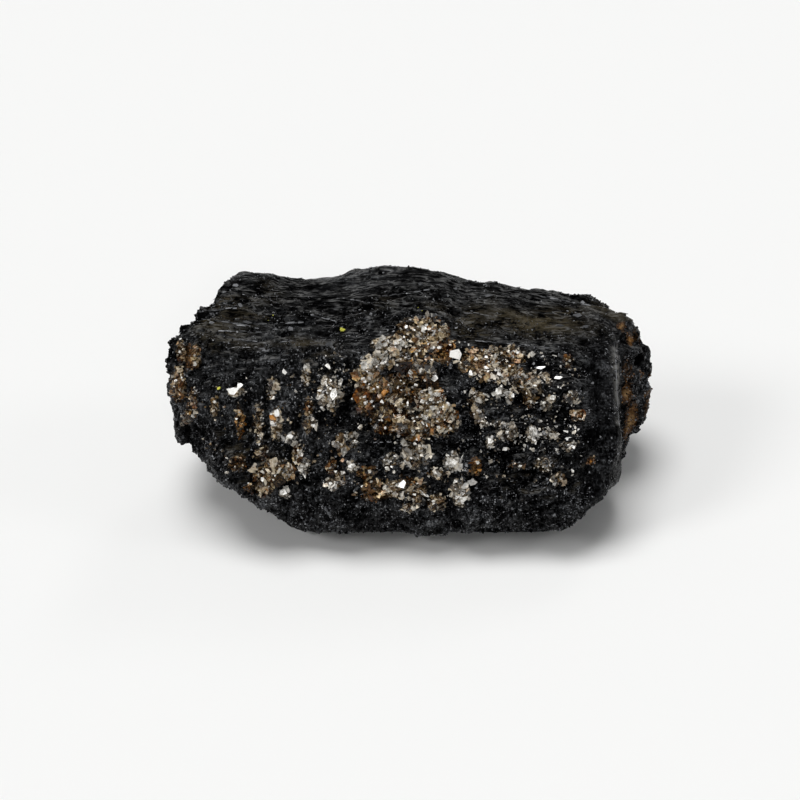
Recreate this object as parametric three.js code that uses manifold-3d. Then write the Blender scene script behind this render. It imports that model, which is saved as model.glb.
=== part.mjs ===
// A rough chunk of black tourmaline with mica grown into its front.
// Millimetres, +Z up. X runs along the stone, -Y is the front that holds the mica, and z = 0 is the
// small flat that it rests on. The origin lies in that plane, under the middle of the stone's box.

import * as THREE from "three";
import { mergeVertices } from "three/addons/utils/BufferGeometryUtils.js";
import { ImprovedNoise } from "three/addons/math/ImprovedNoise.js";
import Module from "manifold-3d";

const wasm = await Module();
wasm.setup();

// Driving sizes of the whole stone.
const LENGTH = 64;
const DEPTH = 32;
const HEIGHT = 28;

// The surface is reached by rays from a spine inside the stone, a stretch of this half length
// at this height. GRID counts the steps of the rays' grid along X, Y and Z.
const SPINE_HALF = 20;
const SPINE_HEIGHT = 13;
const GRID = [38, 15, 14];

// Each fracture is a plane across the stone. turn is its bearing in degrees: 0 is the front, 90 the right,
// 180 the back and -90 the left. tilt is how far it faces up, and reach is how far it lies from the
// middle of the spine.
const FRACTURES = [
  { turn: 0, tilt: 27, reach: 11.4 }, // upper front
  { turn: -2, tilt: -8, reach: 15.4 }, // belly
  { turn: 0, tilt: -42, reach: 16.1 }, // lower front
  { turn: -30, tilt: 87, reach: 15.6 }, // top, left half
  { turn: 72, tilt: 81, reach: 13.5 }, // top, falling to the right
  { turn: 38, tilt: 56, reach: 16.3 }, // bevel from the right bowl of the top to the front
  { turn: 180, tilt: 22, reach: 15.8 }, // upper back
  { turn: 172, tilt: -25, reach: 14.6 }, // lower back
  { turn: -132, tilt: 2, reach: 26.5 }, // broken left back corner
  { turn: -116, tilt: 32, reach: 29.2 }, // long bevel over the left end
  { turn: -92, tilt: 0, reach: 30.7 }, // left end
  { turn: -58, tilt: -8, reach: 27.0 }, // left front corner
  { turn: -45, tilt: -38, reach: 21.4 }, // front underside of the left end
  { turn: -80, tilt: -38, reach: 24.8 }, // underside of the left end
  { turn: 84, tilt: 2, reach: 27.6 }, // right end
  { turn: 100, tilt: 42, reach: 25.9 }, // right end's upper edge
  { turn: 42, tilt: 2, reach: 27.0 }, // right front corner
  { turn: 60, tilt: -40, reach: 24.9 }, // underside of the right end
];
const EDGE_ROUND = 1.2;

// Scoops are hollows and swells are humps, each an ellipsoid blended into the surface over its soft width.
const SCOOPS = [
  { at: [-13, 3, 35.6], size: [14, 22, 9.2], soft: 3 }, // left saddle of the top
  { at: [16, 0, 32.8], size: [13, 11, 8.5], soft: 2.5 }, // right bowl of the top
];
const SWELLS = [
  { at: [-2, 5, 20], size: [10.5, 9.5, 8.7], soft: 5 }, // hump in the middle of the top
  { at: [26.2, 7.5, 11.8], size: [6.6, 7.5, 10.0], soft: 1.2 }, // lobe behind the right end
];

// Patches of mica plates on the front: the middle and half sizes of each across x and z, and its plates.
const MICA_PATCHES = [
  { x: 1.0, z: 25.2, wide: 4.6, high: 1.8, plates: 12 }, // crown, under the hump
  { x: -3.2, z: 21.8, wide: 3.6, high: 3.2, plates: 11 }, // heart of the front
  { x: 2.2, z: 19.0, wide: 4.4, high: 3.2, plates: 12 },
  { x: 0.2, z: 13.4, wide: 3.2, high: 2.8, plates: 7 }, // foot of the front
  { x: -0.6, z: 9.2, wide: 4.2, high: 1.8, plates: 6 },
  { x: 6.4, z: 12.0, wide: 1.2, high: 3.0, plates: 4 },
  { x: 11.2, z: 22.9, wide: 4.6, high: 0.9, plates: 7 }, // band to the right
  { x: 14.4, z: 21.8, wide: 3.4, high: 1.4, plates: 5 },
  { x: 15.4, z: 17.2, wide: 6.4, high: 4.6, plates: 8 },
  { x: -10.2, z: 21.6, wide: 1.8, high: 1.9, plates: 4 }, // streaks to the left
  { x: -18.0, z: 18.0, wide: 1.8, high: 3.2, plates: 5 },
  { x: -17.0, z: 12.2, wide: 2.4, high: 2.0, plates: 5 },
];
const PLATE = { radius: [0.9, 1.5], thick: [0.8, 1.4], sides: 6, taper: 0.9, narrow: 0.72, lean: 50 };
const PLATE_SEED = 11;

// The roughness of the surface: each kind's height, and the size of its lumps along X, Y and Z.
const RELIEF = {
  swells: { height: 0.9, lump: [11, 11, 11] },
  dents: { height: 0.45, lump: [5.2, 5.2, 5.2] },
  ledges: { height: 0.8, lump: [20, 3.2, 3.2] }, // on the top, along the stone
  columns: { height: 0.9, lump: [4.4, 4.4, 31] }, // on the sides, upright
  grooves: { height: 0.4, lump: [2.6, 2.6, 13] }, // on the sides, between the columns
  knobs: { height: 1.3, lump: [3.4, 3.4, 3.4] }, // on the left end
};
const LEFT_END = [22, 29]; // where the knobs fade in, to the left of the middle
const UPWARD = [0.45, 0.8]; // how far up a face must look to be the top
const SIDEWAYS = [0.55, 0.9]; // how far up or down a face may look and still be a side
const CLEAR_OF_FLAT = [0.2, 3.5]; // heights over which the roughness fades in above the flat

// How finely the surface is found and its points are joined.
const HALVINGS = 30;
const SLOPE_STEP = 0.4;
const WELD = 1e-4;
const SMALLEST_STEP = 0.03;

const AXES = [new THREE.Vector3(1, 0, 0), new THREE.Vector3(0, 1, 0), new THREE.Vector3(0, 0, 1)];
const degrees = THREE.MathUtils.degToRad;
const { smoothstep } = THREE.MathUtils;
const grain = new ImprovedNoise();

// The larger of a and b, with the edge between them rounded over about k.
function smoothMax(a, b, k) {
  const near = Math.max(k - Math.abs(a - b), 0);
  return Math.max(a, b) + (near * near) / (4 * k);
}

function smoothMin(a, b, k) {
  return -smoothMax(-a, -b, k);
}

function facing(turn, tilt) {
  return new THREE.Vector3(
    Math.sin(degrees(turn)) * Math.cos(degrees(tilt)),
    -Math.cos(degrees(turn)) * Math.cos(degrees(tilt)),
    Math.sin(degrees(tilt)),
  );
}

// About how far p lies outside an ellipsoid; negative inside.
function outsideEllipsoid(p, { at, size }) {
  const x = (p.x - at[0]) / size[0];
  const y = (p.y - at[1]) / size[1];
  const z = (p.z - at[2]) / size[2];
  return (Math.hypot(x, y, z) - 1) * Math.min(...size);
}

const planes = FRACTURES.map(({ turn, tilt, reach }) => ({ normal: facing(turn, tilt), reach }));

// About how far p lies outside the stone; negative inside.
function outsideStone(p) {
  const beyond = planes.map(({ normal, reach }) => {
    return normal.x * p.x + normal.y * p.y + normal.z * (p.z - SPINE_HEIGHT) - reach;
  });
  let d = beyond.reduce((a, b) => smoothMax(a, b, EDGE_ROUND));
  for (const swell of SWELLS) d = smoothMin(d, outsideEllipsoid(p, swell), swell.soft);
  for (const scoop of SCOOPS) d = smoothMax(d, -outsideEllipsoid(p, scoop), scoop.soft);
  return Math.max(d, -p.z);
}

// The direction in which the stone's surface faces near p.
function facingAt(p) {
  const outAt = (axis, along) => outsideStone(p.clone().addScaledVector(axis, along));
  const slopes = AXES.map((axis) => outAt(axis, SLOPE_STEP) - outAt(axis, -SLOPE_STEP));
  return new THREE.Vector3(...slopes).normalize();
}

// How far one kind of roughness stands out at p.
function bump(p, { height, lump }) {
  return height * grain.noise(p.x / lump[0], p.y / lump[1], p.z / lump[2]);
}

// How far the rough surface stands out of the plain one at p, whose surface faces along n.
function relief(p, n) {
  const top = smoothstep(n.z, ...UPWARD);
  const side = 1 - smoothstep(Math.abs(n.z), ...SIDEWAYS);
  const leftEnd = smoothstep(-p.x, ...LEFT_END);
  const everywhere = bump(p, RELIEF.swells) + bump(p, RELIEF.dents);
  const ledges = top * (1 - leftEnd) * bump(p, RELIEF.ledges);
  const upright = side * (bump(p, RELIEF.columns) + bump(p, RELIEF.grooves));
  return everywhere + ledges + upright + leftEnd * bump(p, RELIEF.knobs);
}

// The point where a ray from a point inside the stone leaves it.
function surfaceAlong(start, direction) {
  let inside = 0;
  let outside = LENGTH;
  const p = new THREE.Vector3();
  for (let i = 0; i < HALVINGS; i++) {
    const middle = (inside + outside) / 2;
    p.copy(start).addScaledVector(direction, middle);
    if (outsideStone(p) < 0) inside = middle;
    else outside = middle;
  }
  return p;
}

// The rough surface over a point of the plain one. It stays off the plane that the stone rests on.
function roughened(p) {
  const n = facingAt(p);
  const clear = smoothstep(p.z, ...CLEAR_OF_FLAT);
  return p.clone().addScaledVector(n, relief(p, n) * clear);
}

// A box's grid of points, each pushed along its ray to the stone's surface.
function stoneGeometry() {
  const box = new THREE.BoxGeometry(LENGTH, DEPTH, HEIGHT, ...GRID);
  box.deleteAttribute("normal");
  box.deleteAttribute("uv");
  const geometry = mergeVertices(box, WELD);
  const position = geometry.getAttribute("position");
  const p = new THREE.Vector3();
  for (let i = 0; i < position.count; i++) {
    p.fromBufferAttribute(position, i);
    const start = new THREE.Vector3(THREE.MathUtils.clamp(p.x, -SPINE_HALF, SPINE_HALF), 0, 0);
    const ray = p.sub(start).normalize();
    start.z = SPINE_HEIGHT;
    const s = roughened(surfaceAlong(start, ray));
    position.setXYZ(i, s.x, s.y, Math.max(s.z, 0));
  }
  return geometry;
}

// The closed solid inside a geometry that holds only positions.
function solidOf(geometry) {
  const merged = mergeVertices(geometry, WELD);
  return new wasm.Manifold(
    new wasm.Mesh({
      numProp: 3,
      vertProperties: new Float32Array(merged.getAttribute("position").array),
      triVerts: new Uint32Array(merged.index.array),
    }),
  );
}

function geometryOf(solid) {
  const { vertProperties, triVerts } = solid.getMesh();
  const geometry = new THREE.BufferGeometry();
  geometry.setAttribute("position", new THREE.BufferAttribute(vertProperties, 3));
  geometry.setIndex(new THREE.BufferAttribute(triVerts, 1));
  geometry.computeVertexNormals();
  return geometry;
}

// A number from low to high, the same row of numbers on each run.
function between([low, high]) {
  return low + (high - low) * THREE.MathUtils.seededRandom();
}

// One six-sided plate of mica, half sunk in the front at x, z and leaning off the surface.
function micaPlate(x, z) {
  const root = roughened(surfaceAlong(new THREE.Vector3(x, 0, z), new THREE.Vector3(0, -1, 0)));
  const lean = degrees(between([0, PLATE.lean]));
  const bearing = between([0, 2 * Math.PI]);
  const tilted = new THREE.Vector3(Math.cos(bearing), Math.sin(bearing), 0);
  const outward = facingAt(root).addScaledVector(tilted, Math.tan(lean)).normalize();
  const radius = between(PLATE.radius);
  const plate = new THREE.CylinderGeometry(radius * PLATE.taper, radius, between(PLATE.thick), PLATE.sides);
  plate.deleteAttribute("normal");
  plate.deleteAttribute("uv");
  plate.scale(1, 1, PLATE.narrow);
  plate.rotateY(between([0, Math.PI]));
  plate.applyQuaternion(new THREE.Quaternion().setFromUnitVectors(AXES[1], outward));
  plate.translate(root.x, root.y, root.z);
  return solidOf(plate);
}

// The plates of every patch, spread evenly over the patch's ellipse.
function micaPlates() {
  THREE.MathUtils.seededRandom(PLATE_SEED);
  return MICA_PATCHES.flatMap(({ x, z, wide, high, plates }) =>
    Array.from({ length: plates }, () => {
      const angle = between([0, 2 * Math.PI]);
      const out = Math.sqrt(between([0, 1]));
      return micaPlate(x + out * wide * Math.cos(angle), z + out * high * Math.sin(angle));
    }),
  );
}

// Moves the geometry so that its box stands centred over the origin.
function centred(geometry) {
  geometry.computeBoundingBox();
  const middle = geometry.boundingBox.getCenter(new THREE.Vector3());
  return geometry.translate(-middle.x, -middle.y, -geometry.boundingBox.min.z);
}

const stone = wasm.Manifold.union([solidOf(stoneGeometry()), ...micaPlates()]).simplify(SMALLEST_STEP);

const tourmaline = new THREE.Mesh(
  centred(geometryOf(stone)),
  new THREE.MeshStandardMaterial({ color: 0x1c1b1a, roughness: 0.6, metalness: 0 }),
);
tourmaline.name = "tourmaline";

const specimen = new THREE.Group();
specimen.add(tourmaline);
export default specimen;
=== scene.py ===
# Black tourmaline: the finish of a rough stone with mica and iron stain, on a pale floor
# Metres, +Z up, in the same frame as the solid. Sizes in the dictionaries are in millimetres.
import math

import bpy
import numpy as np
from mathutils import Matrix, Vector, noise
from mathutils.bvhtree import BVHTree


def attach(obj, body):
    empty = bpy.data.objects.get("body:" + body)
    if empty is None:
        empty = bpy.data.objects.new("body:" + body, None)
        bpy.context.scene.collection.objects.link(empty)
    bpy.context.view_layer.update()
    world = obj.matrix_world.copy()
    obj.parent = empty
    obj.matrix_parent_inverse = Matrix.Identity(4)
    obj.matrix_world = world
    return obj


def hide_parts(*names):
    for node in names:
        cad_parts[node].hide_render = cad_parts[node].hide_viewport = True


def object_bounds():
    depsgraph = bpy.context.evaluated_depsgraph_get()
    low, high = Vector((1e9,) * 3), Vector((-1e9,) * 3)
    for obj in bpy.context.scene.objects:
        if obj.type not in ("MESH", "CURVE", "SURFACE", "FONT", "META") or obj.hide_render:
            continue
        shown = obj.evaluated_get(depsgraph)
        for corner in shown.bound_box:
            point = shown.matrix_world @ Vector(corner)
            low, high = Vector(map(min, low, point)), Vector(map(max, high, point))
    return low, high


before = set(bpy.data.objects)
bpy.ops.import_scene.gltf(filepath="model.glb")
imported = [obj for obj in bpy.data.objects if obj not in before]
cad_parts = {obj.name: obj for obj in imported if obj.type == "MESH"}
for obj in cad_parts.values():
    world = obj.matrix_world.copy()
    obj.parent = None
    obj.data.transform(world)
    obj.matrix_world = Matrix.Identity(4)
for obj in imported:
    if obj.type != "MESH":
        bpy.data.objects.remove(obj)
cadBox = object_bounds()
mm = 0.001
noise.seed_set(8)  # without a seed noise_vector is different in every run
print("frame loaded")


# camera

camera = {
    "elevation": 35,
    "target": (-2.07, -1.26, 14.6),
    "distance": 248.5,
    "lens": 85,
    "sensor": 36,
    "side": 800,  # the view is square, this many pixels across
}
tilt = math.radians(camera["elevation"])
sideways = np.array([1, 0, 0])
ahead = np.array([0, math.cos(tilt), -math.sin(tilt)])
upward = np.array([0, math.sin(tilt), math.cos(tilt)])
viewReach = camera["side"] * camera["lens"] / camera["sensor"]
viewScale = camera["side"] * camera["lens"] / camera["sensor"] / camera["distance"]  # pixels for each mm


def makeCamera():
    back = Vector((0, -math.cos(tilt), math.sin(tilt)))
    data = bpy.data.cameras.new("viewCamera")
    data.lens, data.sensor_width = camera["lens"], camera["sensor"]
    data.clip_start, data.clip_end = 0.01, 20
    eye = bpy.data.objects.new("viewCamera", data)
    eye.location = (Vector(camera["target"]) + back * camera["distance"]) * mm
    eye.rotation_euler = (math.pi / 2 - tilt, 0, 0)
    bpy.context.scene.collection.objects.link(eye)
    bpy.context.scene.camera = eye
    return np.array(eye.location) / mm


eyePlace = makeCamera()
print("camera placed")


# small helpers

def smooth(value, low, high):
    t = np.clip((value - low) / (high - low), 0, 1)
    return t * t * (3 - 2 * t)


def unit(vectors):
    return vectors / np.maximum(np.linalg.norm(vectors, axis=-1, keepdims=True), 1e-9)


def noiseAt(points, size, shift=0.0):  # size is the width of a lump, one number or one for each axis
    scaled = points / np.array(size, float) + shift
    return np.array([noise.noise(p) for p in scaled.tolist()])


def ridgesAt(points, size, shift=0.0):  # 1 on thin crests, falling to 0
    return 1 - np.minimum(np.abs(noiseAt(points, size, shift)) * 3.2, 1)


scatterSteps = np.array([127.1, 311.7, 74.7])  # these four give each cell chance numbers of its own
scatterScale = 43758.5453


def facetsAt(points, size, lean, seed):  # broken faces: each cell is a small tilted plane with its own height
    scaled = points / np.array(size, float)
    cells = np.array([noise.voronoi(p)[1][0] for p in scaled.tolist()])
    waves = np.stack([np.sin(cells @ scatterSteps + seed * k) for k in (1, 2, 3, 4)], axis=1)
    chance = (waves * scatterScale) % 1 - 0.5
    return chance[:, 0] + lean * np.einsum("ij,ij->i", scaled - cells, chance[:, 1:] * 2)


def makeObject(name, points, faces, material, values=None, flat=True):
    mesh = bpy.data.meshes.new(name)
    mesh.from_pydata((points * mm).tolist(), [], faces)
    mesh.polygons.foreach_set("use_smooth", np.full(len(mesh.polygons), not flat))
    for key, numbers in (values or {}).items():
        mesh.attributes.new(key, "FLOAT", "POINT").data.foreach_set("value", numbers.astype(np.float32))
    mesh.materials.append(material)
    mesh.update()
    piece = bpy.data.objects.new(name, mesh)
    bpy.context.scene.collection.objects.link(piece)
    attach(piece, "root")
    return piece


def pointsOf(mesh):
    points = np.zeros(len(mesh.vertices) * 3)
    mesh.vertices.foreach_get("co", points)
    return points.reshape(-1, 3) / mm


def normalsOf(mesh):
    normals = np.zeros(len(mesh.vertices) * 3)
    mesh.vertices.foreach_get("normal", normals)
    return normals.reshape(-1, 3)


# material helpers

def addNode(tree, kind, inputs=None, **settings):
    made = tree.nodes.new(kind)
    for key, value in settings.items():
        setattr(made, key, value)
    for key, value in (inputs or {}).items():
        if isinstance(value, bpy.types.NodeSocket):
            tree.links.new(value, made.inputs[key])
        else:
            made.inputs[key].default_value = value
    return made


def newMaterial(name):
    material = bpy.data.materials.new(name)
    material.use_nodes = True
    tree = material.node_tree
    return material, tree, tree.nodes["Principled BSDF"]


def attribute(tree, name):
    return addNode(tree, "ShaderNodeAttribute", attribute_name=name).outputs["Fac"]


def millimetres(tree):
    place = addNode(tree, "ShaderNodeTexCoord").outputs["Object"]
    return addNode(tree, "ShaderNodeVectorMath", {0: place, "Scale": 1000}, operation="SCALE").outputs[0]


def stretched(tree, place, stretch):
    return addNode(tree, "ShaderNodeVectorMath", {0: place, 1: stretch}, operation="MULTIPLY").outputs[0]


def pushed(tree, vector, chances, reach):  # the vector moved by up to half of reach, as a chance colour says
    middle = (0.5, 0.5, 0.5)
    centred = addNode(tree, "ShaderNodeVectorMath", {0: chances, 1: middle}, operation="SUBTRACT").outputs[0]
    push = addNode(tree, "ShaderNodeVectorMath", {0: centred, "Scale": reach}, operation="SCALE").outputs[0]
    return addNode(tree, "ShaderNodeVectorMath", {0: vector, 1: push}, operation="ADD").outputs[0]


def wavered(tree, place, size, reach):  # the same places, pushed about in soft waves
    waves = addNode(tree, "ShaderNodeTexNoise", {"Vector": place, "Scale": 1 / size, "Detail": 2})
    return pushed(tree, place, waves.outputs["Color"], reach)


def noiseNode(tree, place, size, detail=4, roughness=0.6):
    inputs = {"Vector": place, "Scale": 1 / size, "Detail": detail, "Roughness": roughness}
    return addNode(tree, "ShaderNodeTexNoise", inputs).outputs["Fac"]


def cellNode(tree, place, size):
    return addNode(tree, "ShaderNodeTexVoronoi", {"Vector": place, "Scale": 1 / size}).outputs["Color"]


def ramp(tree, value, stops):
    made = addNode(tree, "ShaderNodeValToRGB", {"Fac": value})
    band = made.color_ramp
    while len(band.elements) < len(stops):
        band.elements.new(0.5)
    for element, (place, colour) in zip(band.elements, stops):
        element.position = place
        element.color = (*colour, 1)
    return made.outputs["Color"]


def mixColour(tree, share, first, second):
    made = addNode(tree, "ShaderNodeMix", data_type="RGBA")
    for socket, value in ((made.inputs[0], share), (made.inputs[6], first), (made.inputs[7], second)):
        if isinstance(value, bpy.types.NodeSocket):
            tree.links.new(value, socket)
        else:
            socket.default_value = value if socket == made.inputs[0] else (*value, 1)
    return made.outputs[2]


def math2(tree, operation, first, second):
    return addNode(tree, "ShaderNodeMath", {0: first, 1: second}, operation=operation).outputs[0]


def spread(tree, value, low, high, toLow=0.0, toHigh=1.0):
    inputs = {"Value": value, "From Min": low, "From Max": high, "To Min": toLow, "To Max": toHigh}
    return addNode(tree, "ShaderNodeMapRange", inputs).outputs[0]


def sparkle(tree, normal, place, size, strength):  # turns each small cell of the surface its own way
    turned = pushed(tree, normal, cellNode(tree, place, size), strength)
    return addNode(tree, "ShaderNodeVectorMath", {0: turned}, operation="NORMALIZE").outputs[0]


# materials

blackStone = {
    "deep": (0.0004, 0.0004, 0.0005),
    "dark": (0.0022, 0.0022, 0.0024),
    "middle": (0.0058, 0.006, 0.0064),
    "grey": (0.028, 0.0288, 0.0305),
    "light": (0.23, 0.235, 0.246),
    # painted highlight: the tone of the strands and glints on the sides
    "glintTone": (0.19, 0.198, 0.212),
    "brown": (0.075, 0.06, 0.033),
    "rustDark": (0.05, 0.026, 0.012),
    "rust": (0.27, 0.135, 0.045),
    "rustPale": (0.5, 0.32, 0.15),
    # painted highlight along the edge of the right corner
    "pale": (0.16, 0.157, 0.148),
    # painted highlight: the same on the top
    "topGlint": (0.15, 0.15, 0.148),
    "fibre": 0.3,  # width of the fibres
    "strand": 0.7,  # distance between the bright strands
    "glint": 0.24,  # width of the fine facets
}


def fibresOf(tree, place, flow):  # lying along the top, upright down the sides
    along = noiseNode(tree, stretched(tree, flow, (0.16, 1, 1)), blackStone["fibre"], 5, 0.65)
    upright = noiseNode(tree, stretched(tree, place, (1, 1, 0.3)), blackStone["fibre"], 4, 0.6)
    return addNode(tree, "ShaderNodeMix", {0: attribute(tree, "top"), 2: upright, 3: along}).outputs[0]


def wearAndShadeOf(tree, place, fibres, patches):  # higher where wear makes the stone lighter; also painted shade, darker in hollows, painted light on crests, and painted light and shade in given spots
    mixed = math2(tree, "ADD", math2(tree, "MULTIPLY", fibres, 0.65), math2(tree, "MULTIPLY", patches, 0.35))
    # painted shade and light: darker in the hollows, lighter on the crests
    wearAndShade = math2(tree, "ADD", mixed, spread(tree, attribute(tree, "height"), -0.5, 0.5, -0.06, 0.05))
    broad = noiseNode(tree, stretched(tree, place, (0.6, 1, 1)), 7, 2)
    wearAndShade = math2(tree, "ADD", wearAndShade, spread(tree, broad, 0.35, 0.65, -0.075, 0.025))
    # painted light and shade: lighter or darker in given spots
    return math2(tree, "ADD", wearAndShade, math2(tree, "MULTIPLY", attribute(tree, "region"), 0.1))


def strandHighlightShare(tree, flow, patches):  # painted highlights: bright strands, mostly along the top
    threads = noiseNode(tree, stretched(tree, flow, (0.12, 1, 1)), blackStone["strand"], 3, 0.5)
    strands = spread(tree, math2(tree, "ABSOLUTE", math2(tree, "SUBTRACT", threads, 0.5), 0), 0.06, 0.01)
    strands = math2(tree, "MULTIPLY", strands, spread(tree, patches, 0.42, 0.6))
    return math2(tree, "MULTIPLY", strands, spread(tree, attribute(tree, "top"), 0, 1, 0.1, 0.75))


def glintShare(tree, place, chance, patches, plain):  # painted glints: pale colour on fine cells, in drifts
    chance = math2(tree, "ADD", chance, math2(tree, "MULTIPLY", patches, 0.5))
    drifts = spread(tree, noiseNode(tree, place, 4.5, 3), 0.42, 0.6, 0.1, 1)
    drifts = math2(tree, "MULTIPLY", drifts, spread(tree, plain, 0, 1, 0.9, 0.22))
    return math2(tree, "MULTIPLY", spread(tree, chance, 1.1, 1.2), drifts)


def stainedColour(tree, place, tinted, stainNoise, rustShare):  # iron stain and mica bed over the black
    stain = attribute(tree, "stain")
    rustLight = spread(tree, noiseNode(tree, place, 1.1, 5, 0.7), 0.42, 0.64)
    rustTone = mixColour(tree, rustLight, blackStone["rustDark"], blackStone["rust"])
    rustTone = mixColour(tree, spread(tree, stain, 0.7, 1.0), rustTone, blackStone["rustPale"])
    stained = mixColour(tree, rustShare, tinted, rustTone)
    bedDepth = math2(tree, "ADD", attribute(tree, "bed"), math2(tree, "MULTIPLY", stainNoise, 0.7))
    bedTone = micaColour(tree, place, attribute(tree, "bedTone"), stain, 0.3)
    bedded = mixColour(tree, spread(tree, bedDepth, 0.78, 0.88), stained, bedTone)
    # painted highlight: the pale edge of the right corner
    return mixColour(tree, attribute(tree, "pale"), bedded, blackStone["pale"])


def grainPlaces(tree, place, flow):  # places for the fine facets, drawn out along the top
    made = addNode(tree, "ShaderNodeMix", {0: attribute(tree, "top")}, data_type="VECTOR")
    tree.links.new(place, made.inputs[4])
    tree.links.new(stretched(tree, flow, (0.3, 1.7, 1.7)), made.inputs[5])
    return made.outputs[1]


def stoneNormal(tree, place, fibres, grains, plain):  # fibres, grit and small facets turned by chance
    broad = {"Strength": 1.0, "Distance": 0.2 * mm, "Height": fibres}
    bump = addNode(tree, "ShaderNodeBump", broad).outputs[0]
    grit = noiseNode(tree, place, 0.14, 3, 0.7)
    gritty = {"Strength": 0.5, "Distance": 0.05 * mm, "Height": grit, "Normal": bump}
    fine = addNode(tree, "ShaderNodeBump", gritty)
    rugged = spread(tree, plain, 0, 1, 1.25, 0.3)
    return sparkle(tree, fine.outputs[0], grains, blackStone["glint"], rugged)


def makeBlackStone():
    material, tree, shader = newMaterial("blackTourmaline")
    place = millimetres(tree)
    flow = wavered(tree, place, 7, 2.2)
    fibres = fibresOf(tree, place, flow)
    patches = noiseNode(tree, place, 2.2, 5)
    wearAndShade = wearAndShadeOf(tree, place, fibres, patches)
    stops = [
        (0.38, blackStone["deep"]), (0.46, blackStone["dark"]), (0.53, blackStone["middle"]),
        (0.61, blackStone["grey"]), (0.74, blackStone["light"]),
    ]
    base = ramp(tree, wearAndShade, stops)
    grains = grainPlaces(tree, place, flow)
    chances = addNode(tree, "ShaderNodeSeparateColor", {0: cellNode(tree, grains, blackStone["glint"])})
    plain = math2(tree, "MAXIMUM", attribute(tree, "sleek"), attribute(tree, "top"))
    glints = glintShare(tree, place, chances.outputs[1], patches, plain)
    # painted highlights: strands and glints mixed pale into the base colour
    glintTone = mixColour(tree, attribute(tree, "top"), blackStone["glintTone"], blackStone["topGlint"])
    bright = math2(tree, "MAXIMUM", strandHighlightShare(tree, flow, patches), glints)
    lit = mixColour(tree, bright, base, glintTone)
    brownShare = math2(tree, "MULTIPLY", attribute(tree, "brown"), spread(tree, wearAndShade, 0.4, 0.53))
    tinted = mixColour(tree, brownShare, lit, blackStone["brown"])
    stainNoise = noiseNode(tree, place, 0.8, 5, 0.7)
    rustShare = spread(tree, math2(tree, "ADD", attribute(tree, "stain"), stainNoise), 0.9, 1.2)
    colour = stainedColour(tree, place, tinted, stainNoise, rustShare)
    tree.links.new(colour, shader.inputs["Base Color"])
    dull = math2(tree, "MULTIPLY", rustShare, 0.35)
    rough = math2(tree, "ADD", spread(tree, chances.outputs[0], 0.0, 1.0, 0.08, 0.3), dull)
    hollow = spread(tree, attribute(tree, "height"), -0.1, -0.6, 0, 0.3)
    tree.links.new(math2(tree, "ADD", rough, hollow), shader.inputs["Roughness"])
    tree.links.new(stoneNormal(tree, place, fibres, grains, plain), shader.inputs["Normal"])
    gloss = spread(tree, wearAndShade, 0.42, 0.66, 0.05, 1.6)
    gloss = math2(tree, "MULTIPLY", gloss, spread(tree, plain, 0, 1, 0.1, 0.06))
    tree.links.new(gloss, shader.inputs["Specular IOR Level"])
    return material


def makeCrystalBlack():
    material, tree, shader = newMaterial("crystalBlack")
    tone = attribute(tree, "tone")
    stops = [
        (0, blackStone["deep"]), (0.4, blackStone["dark"]),
        (0.7, blackStone["middle"]), (1, blackStone["light"]),
    ]
    colour = ramp(tree, tone, stops)
    tinted = mixColour(tree, attribute(tree, "stain"), colour, blackStone["brown"])
    tree.links.new(tinted, shader.inputs["Base Color"])
    tree.links.new(spread(tree, tone, 0, 1, 0.3, 0.1), shader.inputs["Roughness"])
    grit = noiseNode(tree, millimetres(tree), 0.15, 3)
    bump = addNode(tree, "ShaderNodeBump", {"Strength": 0.5, "Distance": 0.04 * mm, "Height": grit})
    tree.links.new(bump.outputs[0], shader.inputs["Normal"])
    shader.inputs["Specular IOR Level"].default_value = 0.2
    return material


mica = {
    "shade": (0.0075, 0.0048, 0.0025),
    "smoky": (0.07, 0.045, 0.023),
    "beige": (0.228, 0.171, 0.102),
    "silver": (0.53, 0.487, 0.418),
    # painted highlight: the white that the brightest flakes reach
    "white": (0.92, 0.92, 0.91),
    "cleanShade": (0.0055, 0.0052, 0.0045),  # the same tones where no iron has reached
    "cleanSmoky": (0.047, 0.043, 0.037),
    "cleanBeige": (0.178, 0.167, 0.145),
    "cleanSilver": (0.52, 0.507, 0.47),
    "ochre": (0.9, 0.66, 0.27),
    "rust": (0.72, 0.31, 0.06),
    "grain": 0.27,  # width of the grains that a flake breaks into
    "leaf": 0.1,  # thickness of one leaf of a book
}


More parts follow.
